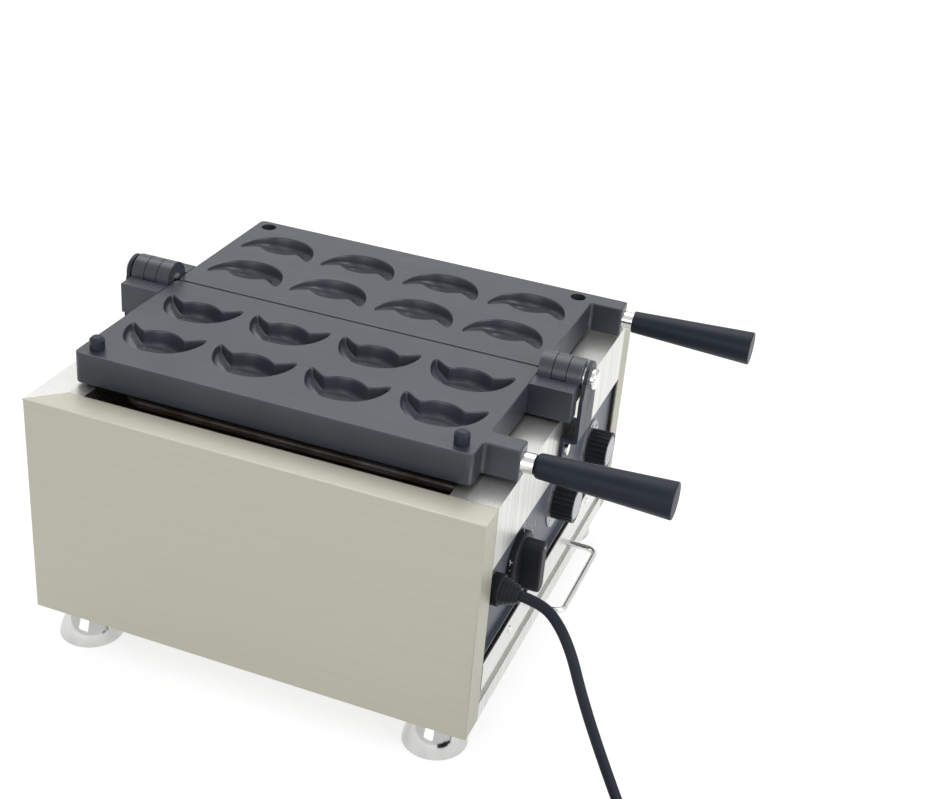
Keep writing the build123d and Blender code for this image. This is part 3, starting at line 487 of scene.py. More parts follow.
# Painted shade: the long side panels wear a darker, beige copy of the end panels' steel, standing in for
# the shade that falls on those sides.
SHADED_SIDE_STEEL = BrushedSteel(
    "steel_side_painted_shade", (0.48, 0.475, 0.395), Axis.Y, roughness=0.46, metallic=0.6, contrast=0.02
)
STEEL_END = BrushedSteel(
    "steel_end", (0.74, 0.74, 0.71), Axis.Z, roughness=0.34, metallic=0.9, contrast=0.2, spacing=1100.0
)
STEEL_RAIL = BrushedSteel("steel_rail", (0.60, 0.60, 0.56), Axis.X, roughness=0.38, metallic=0.95)
TRAY_STEEL = BrushedSteel("tray_steel", (0.74, 0.74, 0.72), Axis.X, roughness=0.33, metallic=0.95)
BRIGHT_STEEL = PolishedMetal("bright_steel", (0.80, 0.80, 0.78), roughness=0.14)
CHROME = PolishedMetal("foot_chrome", (0.62, 0.62, 0.61), roughness=0.08)
BRASS = PolishedMetal("plug_brass", (0.72, 0.52, 0.22), roughness=0.2)
COATING = CoatedCasting("mould_coating", (0.027, 0.032, 0.044), (0.042, 0.048, 0.062), 0.4, 0.6)
CAST_BRACKET = CoatedCasting("bracket_coating", (0.014, 0.019, 0.030), (0.024, 0.030, 0.042), 0.42, 0.1)
GRIP_PLASTIC = MouldedPlastic("grip_plastic", (0.007, 0.011, 0.020), (0.012, 0.017, 0.028), 0.38)
KNOB_PLASTIC = MouldedPlastic("knob_plastic", (0.010, 0.011, 0.014), (0.020, 0.021, 0.024), 0.4)
SWITCH_PLASTIC = MouldedPlastic("switch_plastic", (0.30, 0.26, 0.18), (0.25, 0.22, 0.16), 0.5)
CORD_RUBBER = MouldedPlastic("cord_rubber", (0.010, 0.014, 0.022), (0.020, 0.025, 0.034), 0.5, 0.05, 900.0)
ELEMENT_SHEATH = HeatTinted("element_sheath", (0.16, 0.15, 0.14), (0.09, 0.06, 0.045))
REFLECTOR = HeatTinted("reflector_sheet", (0.62, 0.61, 0.58), (0.36, 0.28, 0.20), 0.34, 0.95)
PANEL = PanelFoil("panel_foil", (0.115, 0.128, 0.160))
CAP_DISC = BrushedSteel("cap_disc", (0.42, 0.43, 0.45), Axis.X, roughness=0.34, metallic=0.8)
PRINT_WHITE = MouldedPlastic("print_white", (0.74, 0.75, 0.76), (0.66, 0.67, 0.68), 0.55, 0.005)
PRINT_DARK = MouldedPlastic("print_dark", (0.020, 0.021, 0.024), (0.030, 0.031, 0.034), 0.5, 0.005)


class Dresser:
    """Makes each finish once and lays it on nodes and pieces."""

    made: dict[str, bpy.types.Material] = {}

    @classmethod
    def material(cls, finish: Finish) -> bpy.types.Material:
        """Material of a finish, made at its first use.

        Args:
            finish: The finish.

        Returns:
            Its one material.
        """
        if finish.name not in cls.made:
            cls.made[finish.name] = finish.material()
        return cls.made[finish.name]

    @classmethod
    def dress(cls, finish: Finish, *names: str) -> None:
        """Lay a finish on frame nodes.

        Args:
            finish: The finish.
            names: Node names.
        """
        for name in names:
            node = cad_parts[name]
            node.data.materials.clear()
            node.data.materials.append(cls.material(finish))
            log.info("dressed %s in %s", name, finish.name)


@dataclass(frozen=True)
class Maker:
    """Turns a bmesh into a piece that rides on a body.

    Attributes:
        body: Body that the pieces move with.
        slot: Name of a colour slot for the pieces; not used.
    """

    body: str
    slot: str

    def piece(
        self,
        name: str,
        shape: bmesh.types.BMesh,
        finish: Finish,
        smooth: bool = True,
        replaces: tuple[str, ...] = (),
    ) -> bpy.types.Object:
        """Finish a bmesh as a named piece.

        Args:
            name: Piece name.
            shape: Its closed mesh, in metres, in place.
            finish: The finish that it wears.
            smooth: Whether small faces shade smooth up to SMOOTH_ANGLE.
            replaces: Frame nodes that it stands for.

        Returns:
            The new object.
        """
        bmesh.ops.remove_doubles(shape, verts=shape.verts, dist=1e-7)
        bmesh.ops.recalc_face_normals(shape, faces=shape.faces)
        mesh = bpy.data.meshes.new(name)
        shape.to_mesh(mesh)
        shape.free()
        if smooth:
            mesh.shade_smooth()
            mesh.set_sharp_from_angle(angle=SMOOTH_ANGLE)
            for polygon in mesh.polygons:
                polygon.use_smooth = polygon.area < FLAT_AREA
        mesh.materials.append(Dresser.material(finish))
        piece = bpy.data.objects.new(name, mesh)
        bpy.context.scene.collection.objects.link(piece)
        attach(piece, self.body)
        if replaces:
            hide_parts(*replaces)
        log.info("made %s on %s", name, self.body)
        return piece


@dataclass(frozen=True)
class PhotoCamera:
    """Camera at the photograph's viewpoint.

    Attributes:
        place: Camera position in metres.
        azimuth: Compass angle of the view in degrees.
        elevation: Height angle of the view in degrees.
        roll: Turn about the line of sight in degrees.
        lens: Focal length in millimetres for the sensor width.
        sensor: Sensor width in millimetres.
    """

    place: Point = (-0.97784, -0.37936, 0.75983)
    azimuth: float = -71.7356
    elevation: float = 28.5744
    roll: float = 5.1211
    lens: float = 57.555
    sensor: float = 36.0

    def build(self) -> None:
        """Make the camera and set it as the scene's own."""
        azimuth, elevation, roll = (math.radians(a) for a in (self.azimuth, self.elevation, self.roll))
        ahead = Vector(
            (
                -math.sin(azimuth) * math.cos(elevation),
                math.cos(azimuth) * math.cos(elevation),
                -math.sin(elevation),
            )
        )
        level = Vector((math.cos(azimuth), math.sin(azimuth), 0.0))
        upright = level.cross(ahead)
        right = level * math.cos(roll) + upright * math.sin(roll)
        upward = upright * math.cos(roll) - level * math.sin(roll)
        turn = Matrix((right, upward, -ahead)).transposed()
        lens = bpy.data.cameras.new("photo_camera")
        lens.lens = self.lens
        lens.sensor_width = self.sensor
        lens.sensor_fit = "HORIZONTAL"
        lens.clip_start, lens.clip_end = 0.05, 50.0
        camera = bpy.data.objects.new("photo_camera", lens)
        camera.matrix_world = Matrix.Translation(self.place) @ turn.to_4x4()
        bpy.context.scene.collection.objects.link(camera)
        bpy.context.scene.camera = camera


@dataclass(frozen=True)
class Lamp:
    """Soft rectangular lamp that looks at a point.

    Attributes:
        name: Lamp name.
        place: Its position in metres.
        size: Its width and height in metres.
        power: Its power in watts.
        aim: The point it looks at.
    """

    name: str
    place: Point
    size: tuple[float, float]
    power: float
    aim: Point = (0.0, 0.0, 0.12)

    def build(self) -> None:
        """Make the lamp."""
        light = bpy.data.lights.new(self.name, "AREA")
        light.shape = "RECTANGLE"
        light.size, light.size_y = self.size
        light.energy = self.power
        lamp = bpy.data.objects.new(self.name, light)
        lamp.location = self.place
        lamp.rotation_euler = (Vector(self.aim) - Vector(self.place)).to_track_quat("-Z", "Y").to_euler()
        bpy.context.scene.collection.objects.link(lamp)


@dataclass(frozen=True)
class Studio:
    """Plain pale floor, white surround and soft lamps.

    Attributes:
        floor_size: Width of the square floor in metres.
        floor_drop: Gap under the feet, in metres.
        floor_glow: White that the floor shows the camera whatever falls on it.
        floor_tone: Share of the light on the floor that adds to it.
        floor_plain: Grey of the floor to every other ray.
        horizon_level: Strength of the surround near the horizon.
        zenith_level: Strength of the surround overhead.
        dusk: Heights, as sines, between which the surround goes from the first to the second.
        lamps: The lamps.
    """

    floor_size: float = 14.0
    floor_drop: float = 0.0002
    floor_glow: float = 0.72
    floor_tone: float = 0.36
    floor_plain: float = 0.55
    horizon_level: float = 0.32
    zenith_level: float = 0.95
    dusk: tuple[float, float] = (0.05, 0.75)
    lamps: tuple[Lamp, ...] = (
        Lamp("front_key", (-0.7, -2.4, 1.7), (1.6, 1.2), 34.0),
        Lamp("overhead", (0.9, 0.6, 2.2), (2.2, 1.8), 28.0),
        Lamp("left_fill", (-2.8, 0.2, 1.1), (1.8, 1.6), 15.0),
    )

    def build(self) -> None:
        """Make the floor, the surround and the lamps."""
        self.floor()
        self.surround()
        for lamp in self.lamps:
            lamp.build()
        bpy.context.scene.view_settings.view_transform = "Standard"

    def floor(self) -> None:
        """Lay the floor: white to the camera, gloss and glass, and a plain pale diffuse otherwise."""
        shape = bmesh.new()
        bmesh.ops.create_grid(shape, x_segments=1, y_segments=1, size=self.floor_size / 2)
        bmesh.ops.translate(shape, verts=shape.verts, vec=(0.0, 0.0, -self.floor_drop))
        mesh = bpy.data.meshes.new("floor")
        shape.to_mesh(mesh)
        shape.free()
        material = bpy.data.materials.new("floor_paper")
        material.use_nodes = True
        nodes = Nodes(material.node_tree)
        nodes.tree.nodes.clear()
        output = nodes.add("OutputMaterial")
        plain, shown = nodes.add("BsdfDiffuse"), nodes.add("BsdfDiffuse")
        plain.inputs["Color"].default_value = (*(self.floor_plain,) * 3, 1.0)
        shown.inputs["Color"].default_value = (*(self.floor_tone,) * 3, 1.0)
        glow = nodes.add("Emission")
        glow.inputs["Strength"].default_value = self.floor_glow
        seen, choose = nodes.add("AddShader"), nodes.add("MixShader")
        nodes.join(shown.outputs[0], seen.inputs[0])
        nodes.join(glow.outputs[0], seen.inputs[1])
        nodes.join(nodes.direct_view(), choose.inputs[0])
        nodes.join(plain.outputs[0], choose.inputs[1])
        nodes.join(seen.outputs[0], choose.inputs[2])
        nodes.join(choose.outputs[0], output.inputs["Surface"])
        mesh.materials.append(material)
        floor = bpy.data.objects.new("floor", mesh)
        bpy.context.scene.collection.objects.link(floor)

    def surround(self) -> None:
        """Make the world: white to the camera, gloss and glass, a soft dome of light to all else."""
        world = bpy.data.worlds.new("surround")
        bpy.context.scene.world = world
        world.use_nodes = True
        nodes = Nodes(world.node_tree)
        nodes.tree.nodes.clear()
        output, sky = nodes.add("OutputWorld"), nodes.add("Background")
        way, parts = nodes.add("TexCoord"), nodes.add("SeparateXYZ")
        nodes.join(way.outputs["Generated"], parts.inputs["Vector"])
        level = nodes.ramp(parts.outputs["Z"], *self.dusk, (self.horizon_level, self.zenith_level))
        choose = nodes.add("Mix")
        nodes.join(nodes.direct_view(), choose.inputs[0])
        nodes.join(level, choose.inputs[2])
        choose.inputs[3].default_value = 1.0
        nodes.join(choose.outputs[0], sky.inputs["Strength"])
        nodes.join(sky.outputs[0], output.inputs["Surface"])


@dataclass(frozen=True)
class PowerCord:
    """Rubber mains lead: out of the gland, down the corner, across the table to a flat coil.

    Attributes:
        diameter: Lead diameter in millimetres.
        route: Control points of the free run, in millimetres.
        coil_radii: Radius of each half turn in millimetres, in order.
        climb_turn: The half turn in which the lead climbs onto the lower layer.
        layer: Height between the two layers in millimetres.
        points_per_half: Control points of a half turn.
        length: Free length of the lead in metres; not used.
    """

    diameter: float = 8.0
    route: tuple[Point, ...] = (
        (-142.0, -153.85, 136.0),
        (-143.0, -171.0, 135.0),
        (-152.0, -187.0, 128.0),
        (-161.0, -200.0, 114.0),
        (-168.0, -210.0, 95.0),
        (-174.0, -221.0, 75.0),
        (-179.0, -232.0, 56.0),
        (-184.0, -243.0, 38.0),
        (-190.0, -254.0, 22.0),
        (-199.0, -266.0, 10.0),
        (-211.0, -277.0, 4.7),
        (-226.0, -284.0, 4.1),
        (-242.0, -287.2, 4.1),
        (-256.0, -288.0, 4.1),
        (-268.0, -288.0, 4.1),
    )
    coil_radii: tuple[float, ...] = (54.0, 49.6, 45.2, 40.8, 36.4, 40.8, 45.2, 49.6, 54.0, 65.25)
    climb_turn: int = 4
    layer: float = 8.8
    points_per_half: int = 7
    length: float = 1.79

    def control_points(self) -> list[Vector]:
        """Control points of the whole lead, gland to plug.

        Returns:
            Points in metres.
        """
        points = [Vector(point) for point in self.route]
        x = points[-1].x - self.diameter
        y, z = points[-1].y, points[-1].z
        heading = -1.0
        step = math.pi / self.points_per_half
        for turn, radius in enumerate(self.coil_radii):
            centre = Vector((x, y - heading * radius, 0.0))
            reach = radius / math.cos(step / 2.0)
            for place in range(self.points_per_half):
                angle = (place + 0.5) * step
                rise = self.layer * (place + 0.5) / self.points_per_half if turn == self.climb_turn else 0.0
                across = heading * reach * math.sin(angle)
                along = heading * reach * math.cos(angle)
                points.append(centre + Vector((across, along, z + rise)))
            y -= heading * 2.0 * radius
            z += self.layer if turn == self.climb_turn else 0.0
            heading = -heading
        points.append(Vector((x + heading * self.diameter / 2.0, y, z)))
        points.append(Vector((x + heading * self.diameter, y, z)))
        return [point * MM for point in points]

    def build(self) -> bpy.types.Object:
        """Returns:
            The curve object.
        """
        points = self.control_points()
        curve = bpy.data.curves.new("mains_lead", "CURVE")
        curve.dimensions = "3D"
        spline = curve.splines.new("NURBS")
        spline.points.add(len(points) - 1)
        for place, point in zip(spline.points, points):
            place.co = (*point, 1.0)
        spline.order_u = 3
        spline.use_endpoint_u = True
        spline.resolution_u = 6
        curve.bevel_depth = self.diameter / 2.0 * MM
        curve.bevel_resolution = 5
        curve.use_fill_caps = True
        curve.materials.append(Dresser.material(CORD_RUBBER))
        lead = bpy.data.objects.new("mains_lead", curve)
        bpy.context.scene.collection.objects.link(lead)
        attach(lead, "cabinet")
        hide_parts("power_cord", "cord_coil")
        Dresser.dress(CORD_RUBBER, "plug_body")
        Dresser.dress(BRASS, "plug_pins")
        log.info("made mains_lead with %d control points", len(points))
        return lead


@dataclass(frozen=True)
class Cabinet:
    """Folded steel shell, its rails and its hinge brackets."""

    sides: tuple[str, ...] = ("side_panel_left", "side_panel_right")
    ends: tuple[str, ...] = ("front_fascia", "rear_panel", "base_rail")

    def build(self) -> None:
        """Dress the shell."""
        # The long sides take the steel copy whose darker tint is painted shade.
        Dresser.dress(SHADED_SIDE_STEEL, *self.sides)
        Dresser.dress(STEEL_END, *self.ends)
        Dresser.dress(STEEL_RAIL, "base_pan", "rest_rail_front", "rest_rail_rear", "heat_shield")
        Dresser.dress(STEEL_RAIL, "tray_runner_left", "tray_runner_right")
        Dresser.dress(CAST_BRACKET, "hinge_bracket_front", "hinge_bracket_rear")
        Dresser.dress(BRIGHT_STEEL, "bracket_screws")


@dataclass(frozen=True)
class Heating:
    """Elements, reflector and sensor bulbs under the moulds."""

    def build(self) -> None:
        """Dress the heating parts."""
        Dresser.dress(ELEMENT_SHEATH, "heater_left", "heater_right")
        Dresser.dress(REFLECTOR, "reflector_pan")
        Dresser.dress(BRASS, "sensor_bulbs")


def rounded_outline(corners: list[tuple[float, float, float]], steps: int = 6) -> list[Point]:
    """Closed outline of straight runs joined by arcs.

    Args:
        corners: Each corner's first and second coordinate and its radius.
        steps: Points on each arc, less one.

    Returns:
        The outline's points at height 0.
    """
    points = []
    for place, (x, y, radius) in enumerate(corners):
        corner = Vector((x, y))
        before = (Vector(corners[place - 1][:2]) - corner).normalized()
        after = (Vector(corners[(place + 1) % len(corners)][:2]) - corner).normalized()
        half = before.angle(after) / 2.0
        middle = corner + (before + after).normalized() * (radius / math.sin(half))
        first = corner + before * (radius / math.tan(half)) - middle
        turn = first.angle_signed(corner + after * (radius / math.tan(half)) - middle)
        for step in range(steps + 1):
            arm = Matrix.Rotation(-turn * step / steps, 2) @ first
            points.append((*(middle + arm), 0.0))
    return points


def prism(shape: bmesh.types.BMesh, outline: list[Point], low: float, high: float) -> None:
    """Add a closed prism.

    Args:
        shape: The mesh that it is added to.
        outline: Its outline.
        low: Height of its underside.
        high: Height of its top.
    """
    foot = shape.faces.new([shape.verts.new((x, y, low)) for x, y, _ in outline])
    swept = bmesh.ops.extrude_face_region(shape, geom=[foot])["geom"]
    raised = [part for part in swept if isinstance(part, bmesh.types.BMVert)]
    bmesh.ops.translate(shape, verts=raised, vec=(0.0, 0.0, high - low))


def drum(
    shape: bmesh.types.BMesh, foot: Point, tip: Point, radius: float, tip_radius: float, sides: int = 32
) -> None:
    """Add a closed cylinder or cone between two points.

    Args:
        shape: The mesh that it is added to.
        foot: Middle of its first end.
        tip: Middle of its other end.
        radius: Radius at the first end.
        tip_radius: Radius at the other end.
        sides: Number of its sides.
    """
    along = Vector(tip) - Vector(foot)
    turn = along.to_track_quat("Z", "Y").to_matrix().to_4x4()
    middle = (Vector(tip) + Vector(foot)) / 2.0
    bmesh.ops.create_cone(
        shape,
        cap_ends=True,
        segments=sides,
        radius1=radius,
        radius2=tip_radius,
        depth=along.length,
        matrix=Matrix.Translation(middle) @ turn,
    )


def carved(solid: bmesh.types.BMesh, cutters: bmesh.types.BMesh) -> bmesh.types.BMesh:
    """Take closed cutters out of a closed solid; both meshes are used up.

    Args:
        solid: The solid.
        cutters: Closed shells that don't cross each other.

    Returns:
        The carved solid.
    """
    things = []
    for shape in (solid, cutters):
        bmesh.ops.recalc_face_normals(shape, faces=shape.faces)
        mesh = bpy.data.meshes.new("carving")
        shape.to_mesh(mesh)
        shape.free()
        thing = bpy.data.objects.new("carving", mesh)
        bpy.context.scene.collection.objects.link(thing)
        things.append(thing)
    cut = things[0].modifiers.new("carve", "BOOLEAN")
    cut.operation = "DIFFERENCE"
    cut.solver = "EXACT"
    cut.object = things[1]
    result = bmesh.new()
    result.from_object(things[0], bpy.context.evaluated_depsgraph_get())
    for thing in things:
        mesh = thing.data
        bpy.data.objects.remove(thing)
        bpy.data.meshes.remove(mesh)
    return result


@dataclass(frozen=True)
class IngotCavity:
    """Boat-shaped cavity with two ears, a curved floor and an egg-shaped bowl, in millimetres.

    Its first axis runs along the hinge and its second toward the hinge.

    Attributes:
        depth: Depth of the floor in the middle.
        belly: Reach of the outline away from the hinge.
        belly_pull: Length over which the belly stays flat.
        bilge: Where the belly turns up: along the hinge, and as a share of the belly.
        ear: End of an ear's outer side.
        tip: An ear's tip.
        tip_slack: How far an ear's inner side sags.
        notch: Where an ear meets the egg's edge.
        crown: Reach of the egg's edge toward the hinge.
        crown_steps: Where points lie on that edge, as shares of its half angle.
        hull_radius: Radius of the floor along the hinge.
        keel: Middle of the floor's mid line, its rise at the ears and where that rise ends.
        keel_share: Length of the mid line as a share of the outline's.
        wall: Rings from the edge to the floor: share of the way from the mid line to the outline,
            swell in lips and share of the depth.
        lip: Round of the cavity's edge.
        above: How far the cutter stands over the face.
        egg: Half length, half width and depth of the bowl.
        egg_middle: Middle of the bowl along the second axis.
    """

    depth: float
    belly: float = 24.5
    belly_pull: float = 16.0
    bilge: tuple[float, float] = (29.5, 0.63)
    ear: tuple[float, float] = (33.0, 8.0)
    tip: tuple[float, float] = (31.5, 12.8)
    tip_slack: tuple[float, float] = (0.6, -0.5)
    notch: tuple[float, float] = (16.8, 3.3)
    crown: float = 10.4
    crown_steps: tuple[float, ...] = (1.0, 0.72, 0.48, 0.24)
    hull_radius: float = 64.5
    keel: Point = (-8.0, 17.0, 32.0)
    keel_share: float = 0.86
    wall: tuple[Point, ...] = (
        (1.0, 1.0, 0.0),
        (1.0, 0.2, 0.05),
        (0.985, 0.0, 0.14),
        (0.92, 0.0, 0.62),
        (0.88, 0.0, 0.84),
        (0.82, 0.0, 0.96),
        (0.72, 0.0, 1.0),
        (0.4, 0.0, 1.0),
        (0.1, 0.0, 1.0),
    )
    lip: float = 0.6
    above: float = 0.7
    egg: Point = (20.6, 16.4, 17.2)
    egg_middle: float = -7.2

    def outline(self) -> list[Vector]:
        """Closed outline at the mould's face, from the belly round by the right ear.

        Returns:
            Its points, with the corners cut twice to round them.
        """
        belly = geometry.interpolate_bezier(
            Vector((0.0, -self.belly)),
            Vector((self.belly_pull, -self.belly)),
            Vector((self.bilge[0], -self.belly * self.bilge[1])),
            Vector(self.ear),
            9,
        )
        tip, notch = Vector(self.tip), Vector(self.notch)
        ear = [tip, tip.lerp(notch, 0.2), tip.lerp(notch, 0.75) + Vector(self.tip_slack)]
        rise = self.crown - notch.y
        radius = (notch.x**2 + rise**2) / (2.0 * rise)
        spread = math.asin(notch.x / radius)
        angles = [spread * share for share in self.crown_steps]
        crown = [Vector((radius * math.sin(a), self.crown - radius + radius * math.cos(a))) for a in angles]
        half = list(belly) + ear + crown
        mirrored = [Vector((-point.x, point.y)) for point in reversed(half[1:])]
        points = half + [Vector((0.0, self.crown))] + mirrored
        for _ in range(2):
            sides = list(zip(points, points[1:] + points[:1]))
            points = [point.lerp(after, share) for point, after in sides for share in (0.25, 0.75)]
        return points

    def floor(self, x: float) -> float:
        """Depth of the curved floor at a place along the hinge."""
        return self.depth - self.hull_radius + math.sqrt(self.hull_radius**2 - x**2)

    def inner(self, point: Vector) -> Vector:
        """Find where an outline point is drawn to.

        Args:
            point: A point of the outline.

        Returns:
            Its partner on the floor's mid line.
        """
        middle, rise, reach = self.keel
        x = self.keel_share * point.x
        return Vector((x, middle + rise * (abs(x) / reach) ** 4))

    def boat(self, shape: bmesh.types.BMesh, place: Matrix) -> None:
        """Add the cutter of the boat.

        Args:
            shape: The mesh that it is added to.
            place: Turns the cavity's own axes into the mould's.
        """
        points = self.outline()
        alongs = [after - before for before, after in zip(points[-1:] + points, points[1:] + points[:1])]
        outwards = [Vector((along.y, -along.x)).normalized() for along in alongs]
        levels = [(share, lips * self.lip, drop) for share, lips, drop in self.wall]
        # The first ring stands over the face, and each later one is extruded from the one above.
        order = shape.verts.layers.int.new("order")
        cap = shape.faces.new([shape.verts.new() for _ in points])
        for here, vert in enumerate(cap.verts):
            vert[order] = here
        for share, swell, drop in [(1.0, self.lip + self.above, None), *levels]:
            if drop is not None:
                swept = bmesh.ops.extrude_face_region(shape, geom=[cap, *cap.edges])["geom"]
                cap = next(part for part in swept if isinstance(part, bmesh.types.BMFace))
            for vert in cap.verts:
                point, outward = points[vert[order]], outwards[vert[order]]
                spot = self.inner(point).lerp(point, share) + outward * swell
                height = self.above if drop is None else -drop * self.floor(spot.x)
                vert.co = place @ Vector((spot.x, spot.y, height))
        shape.verts.layers.int.remove(order)

    def bowl(self, shape: bmesh.types.BMesh, place: Matrix) -> None:
        """Add the cutter of the egg-shaped bowl.

        Args:
            shape: The mesh that it is added to.
            place: Turns the cavity's own axes into the mould's.
        """
        size = Matrix.Diagonal((*self.egg, 1.0))
        middle = Matrix.Translation((0.0, self.egg_middle, 0.0))
        bmesh.ops.create_uvsphere(
            shape, u_segments=56, v_segments=28, radius=1.0, matrix=place @ middle @ size
        )


@dataclass(frozen=True)
class Mould:
    """One cast mould, in millimetres: plate, handle lug, cavities, holes and the pockets behind.

    Attributes:
        side: The node's side, left or right.
        sign: Side of the hinge on which it lies at rest.
        handle_reach: Distance from the hinge to the handle's axis.
        cavity_depth: Depth of the cavities' floor.
        peg_hole: Radius and depth of the two holes for the pegs.
        thickness: Thickness of the plate.
        lug_length: Length of the handle lug.
        lug_width: Width of the handle lug.
        corner: Radius of the plate's corners.
        lug_corner: Radius of the lug's corners.
        fillet: Radius between lug and plate.
        edge: Round of the upper and lower edges.
        columns: Cavities along the hinge.
        column_pitch: Distance between them.
        rows: Cavities across the plate.
        row_near_hinge: Distance from the hinge to the first row.
        row_pitch: Distance between the rows.
        peg_reach: Distance from the hinge to the peg holes.
        peg_inset: Distance from the plate's ends to the peg holes.
        stub_reaches: Distances from the hinge to the rest stubs.
        stub_inset: Distance from the plate's ends to the stubs.
        stub: Radius and height of a stub.
        rod_hole: Radius and depth of the hole for the handle rod.
        pocket_rib: Thickness of the ribs between the pockets.
        pocket_depth: Depth of the pockets.
        pocket_corner: Radius of their corners.
        over: How far a cutter stands over the face that it cuts.
    """

    side: str
    sign: int
    handle_reach: float
    cavity_depth: float
    peg_hole: tuple[float, float]
    thickness: float = 25.0
    lug_length: float = 27.0
    lug_width: float = 17.0
    corner: float = 5.0
    lug_corner: float = 2.0
    fillet: float = 3.0
    edge: float = 1.1
    columns: int = 4
    column_pitch: float = 75.6
    rows: int = 2
    row_near_hinge: float = 39.4
    row_pitch: float = 58.0
    peg_reach: float = 136.0
    peg_inset: float = 13.0
    stub_reaches: tuple[float, float] = (42.0, 136.0)
    stub_inset: float = 7.5
    stub: tuple[float, float] = (4.0, 2.55)
    rod_hole: tuple[float, float] = (4.05, 18.0)
    pocket_rib: float = 9.0
    pocket_depth: float = 4.0
    pocket_corner: float = 6.0
    over: float = 1.0

    def build(self) -> None:
        """Model the mould in the place of its node."""
        low, high = (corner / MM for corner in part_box(f"mould_{self.side}"))
        face, back = high.z, high.z - self.thickness
        front, rear = low.y + self.lug_length, high.y
        solid = self.blank(low, high, back)
        boats, wells = self.cavities((front + rear) / 2.0, back, face)
        radius, depth = self.peg_hole
        for end in (front + self.peg_inset, rear - self.peg_inset):
            spot = (self.sign * self.peg_reach, end)
            drum(wells, (*spot, face + self.over), (*spot, face - depth), radius, radius)
        radius, depth = self.rod_hole
        rod_x, rod_z = self.sign * self.handle_reach, face - self.thickness / 2.0
        drum(wells, (rod_x, low.y - self.over, rod_z), (rod_x, low.y + depth, rod_z), radius, radius)
        solid = carved(carved(solid, boats), wells)
        radius, height = self.stub
        for reach in self.stub_reaches:
            for end in (front + self.stub_inset, rear - self.stub_inset):
                spot = (self.sign * reach, end)
                drum(solid, (*spot, back), (*spot, back - height), radius, radius, 24)
        bmesh.ops.scale(solid, verts=solid.verts, vec=(MM, MM, MM))
        Maker(f"{self.side}_mould", "cast_plate").piece(
            f"cast_mould_{self.side}", solid, COATING, replaces=(f"mould_{self.side}",)
        )

    def blank(self, low: Vector, high: Vector, back: float) -> bmesh.types.BMesh:
        """Plate and handle lug before anything is cut.

        Args:
            low: Lowest corner of the node's box.
            high: Highest corner of the node's box.
            back: Height of the plate's underside.

        Returns:
            The blank's mesh.
        """
        front, rear = low.y + self.lug_length, high.y
        near, far = sorted((abs(low.x), abs(high.x)))
        half_lug = self.lug_width / 2.0
        lug_out = self.sign * min(self.handle_reach + half_lug, far)
        lug_in = self.sign * (self.handle_reach - half_lug)
        corners = [(self.sign * near, rear, self.corner), (self.sign * far, rear, self.corner)]
        if abs(lug_out) < far:
            corners += [(self.sign * far, front, self.corner), (lug_out, front, self.fillet)]
        corners += [(lug_out, low.y, self.lug_corner), (lug_in, low.y, self.lug_corner)]
        corners += [(lug_in, front, self.fillet), (self.sign * near, front, self.corner)]
        solid = bmesh.new()
        prism(solid, rounded_outline(corners), back, high.z)
        rim = [edge for edge in solid.edges if abs(edge.verts[0].co.z - edge.verts[1].co.z) < 1e-6]
        bmesh.ops.bevel(
            solid, geom=rim, offset=self.edge, segments=3, profile=0.5, affect="EDGES", material=-1
        )
        return solid

    def cavities(
        self, middle_y: float, back: float, face: float
    ) -> tuple[bmesh.types.BMesh, bmesh.types.BMesh]:
        """Cutters of the cavities and of the pockets behind them.

        Args:
            middle_y: Middle of the plate along the hinge.
            back: Height of the plate's underside.
            face: Height of its face.

        Returns:
            The boats in one mesh, and the bowls and pockets in another.
        """
        cavity = IngotCavity(self.cavity_depth)
        across = Matrix(((0.0, -self.sign, 0.0), (1.0, 0.0, 0.0), (0.0, 0.0, 1.0))).to_4x4()
        boats, wells = bmesh.new(), bmesh.new()
        half_x = (self.row_pitch - self.pocket_rib) / 2.0
        half_y = (self.column_pitch - self.pocket_rib) / 2.0
        for row in range(self.rows):
            x = self.sign * (self.row_near_hinge + row * self.row_pitch)
            for column in range(self.columns):
                y = middle_y + (column - (self.columns - 1) / 2.0) * self.column_pitch
                place = Matrix.Translation((x, y, face)) @ across
                cavity.boat(boats, place)
                cavity.bowl(wells, place)
                signs = ((-1, -1), (1, -1), (1, 1), (-1, 1))
                corners = [(x + a * half_x, y + b * half_y, self.pocket_corner) for a, b in signs]
                prism(wells, rounded_outline(corners, 4), back - self.over, back + self.pocket_depth)
        return boats, wells


@dataclass(frozen=True)
class MouldPair:
    """The two cast moulds with lugs, pins, pegs and handles."""

    moulds: tuple[Mould, ...] = (
        Mould("left", -1, 118.5, 13.0, (5.75, 8.0)),
        Mould("right", 1, 139.5, 11.0, (6.5, 11.0)),
    )

    def build(self) -> None:
        """Model the moulds and dress what is on them."""
        for mould in self.moulds:
            mould.build()
        Dresser.dress(COATING, "hinge_lugs_left", "hinge_lugs_right")
        Dresser.dress(CAST_BRACKET, "locating_pegs")
        Dresser.dress(BRIGHT_STEEL, "hinge_pin_front", "hinge_pin_rear", "hinge_washers")
        Dresser.dress(BRIGHT_STEEL, "handle_rod_left", "handle_rod_right")
        Dresser.dress(GRIP_PLASTIC, "grip_left", "grip_right")


def slab(shape: bmesh.types.BMesh, place: Matrix, low: Point, high: Point) -> None:
    """Add a closed box.

    Args:
        shape: The mesh that it is added to.
        place: Turns the box's own millimetres into the scene's.
        low: Its lowest corner.
        high: Its highest corner.
    """
    size = Matrix.Diagonal((*(top - foot for foot, top in zip(low, high)), 1.0))
    middle = Matrix.Translation([(foot + top) / 2.0 for foot, top in zip(low, high)])
    bmesh.ops.create_cube(shape, size=1.0, matrix=place @ middle @ size)


FIGURE_SHARE = 0.7  # height of a figure as a share of the font's size


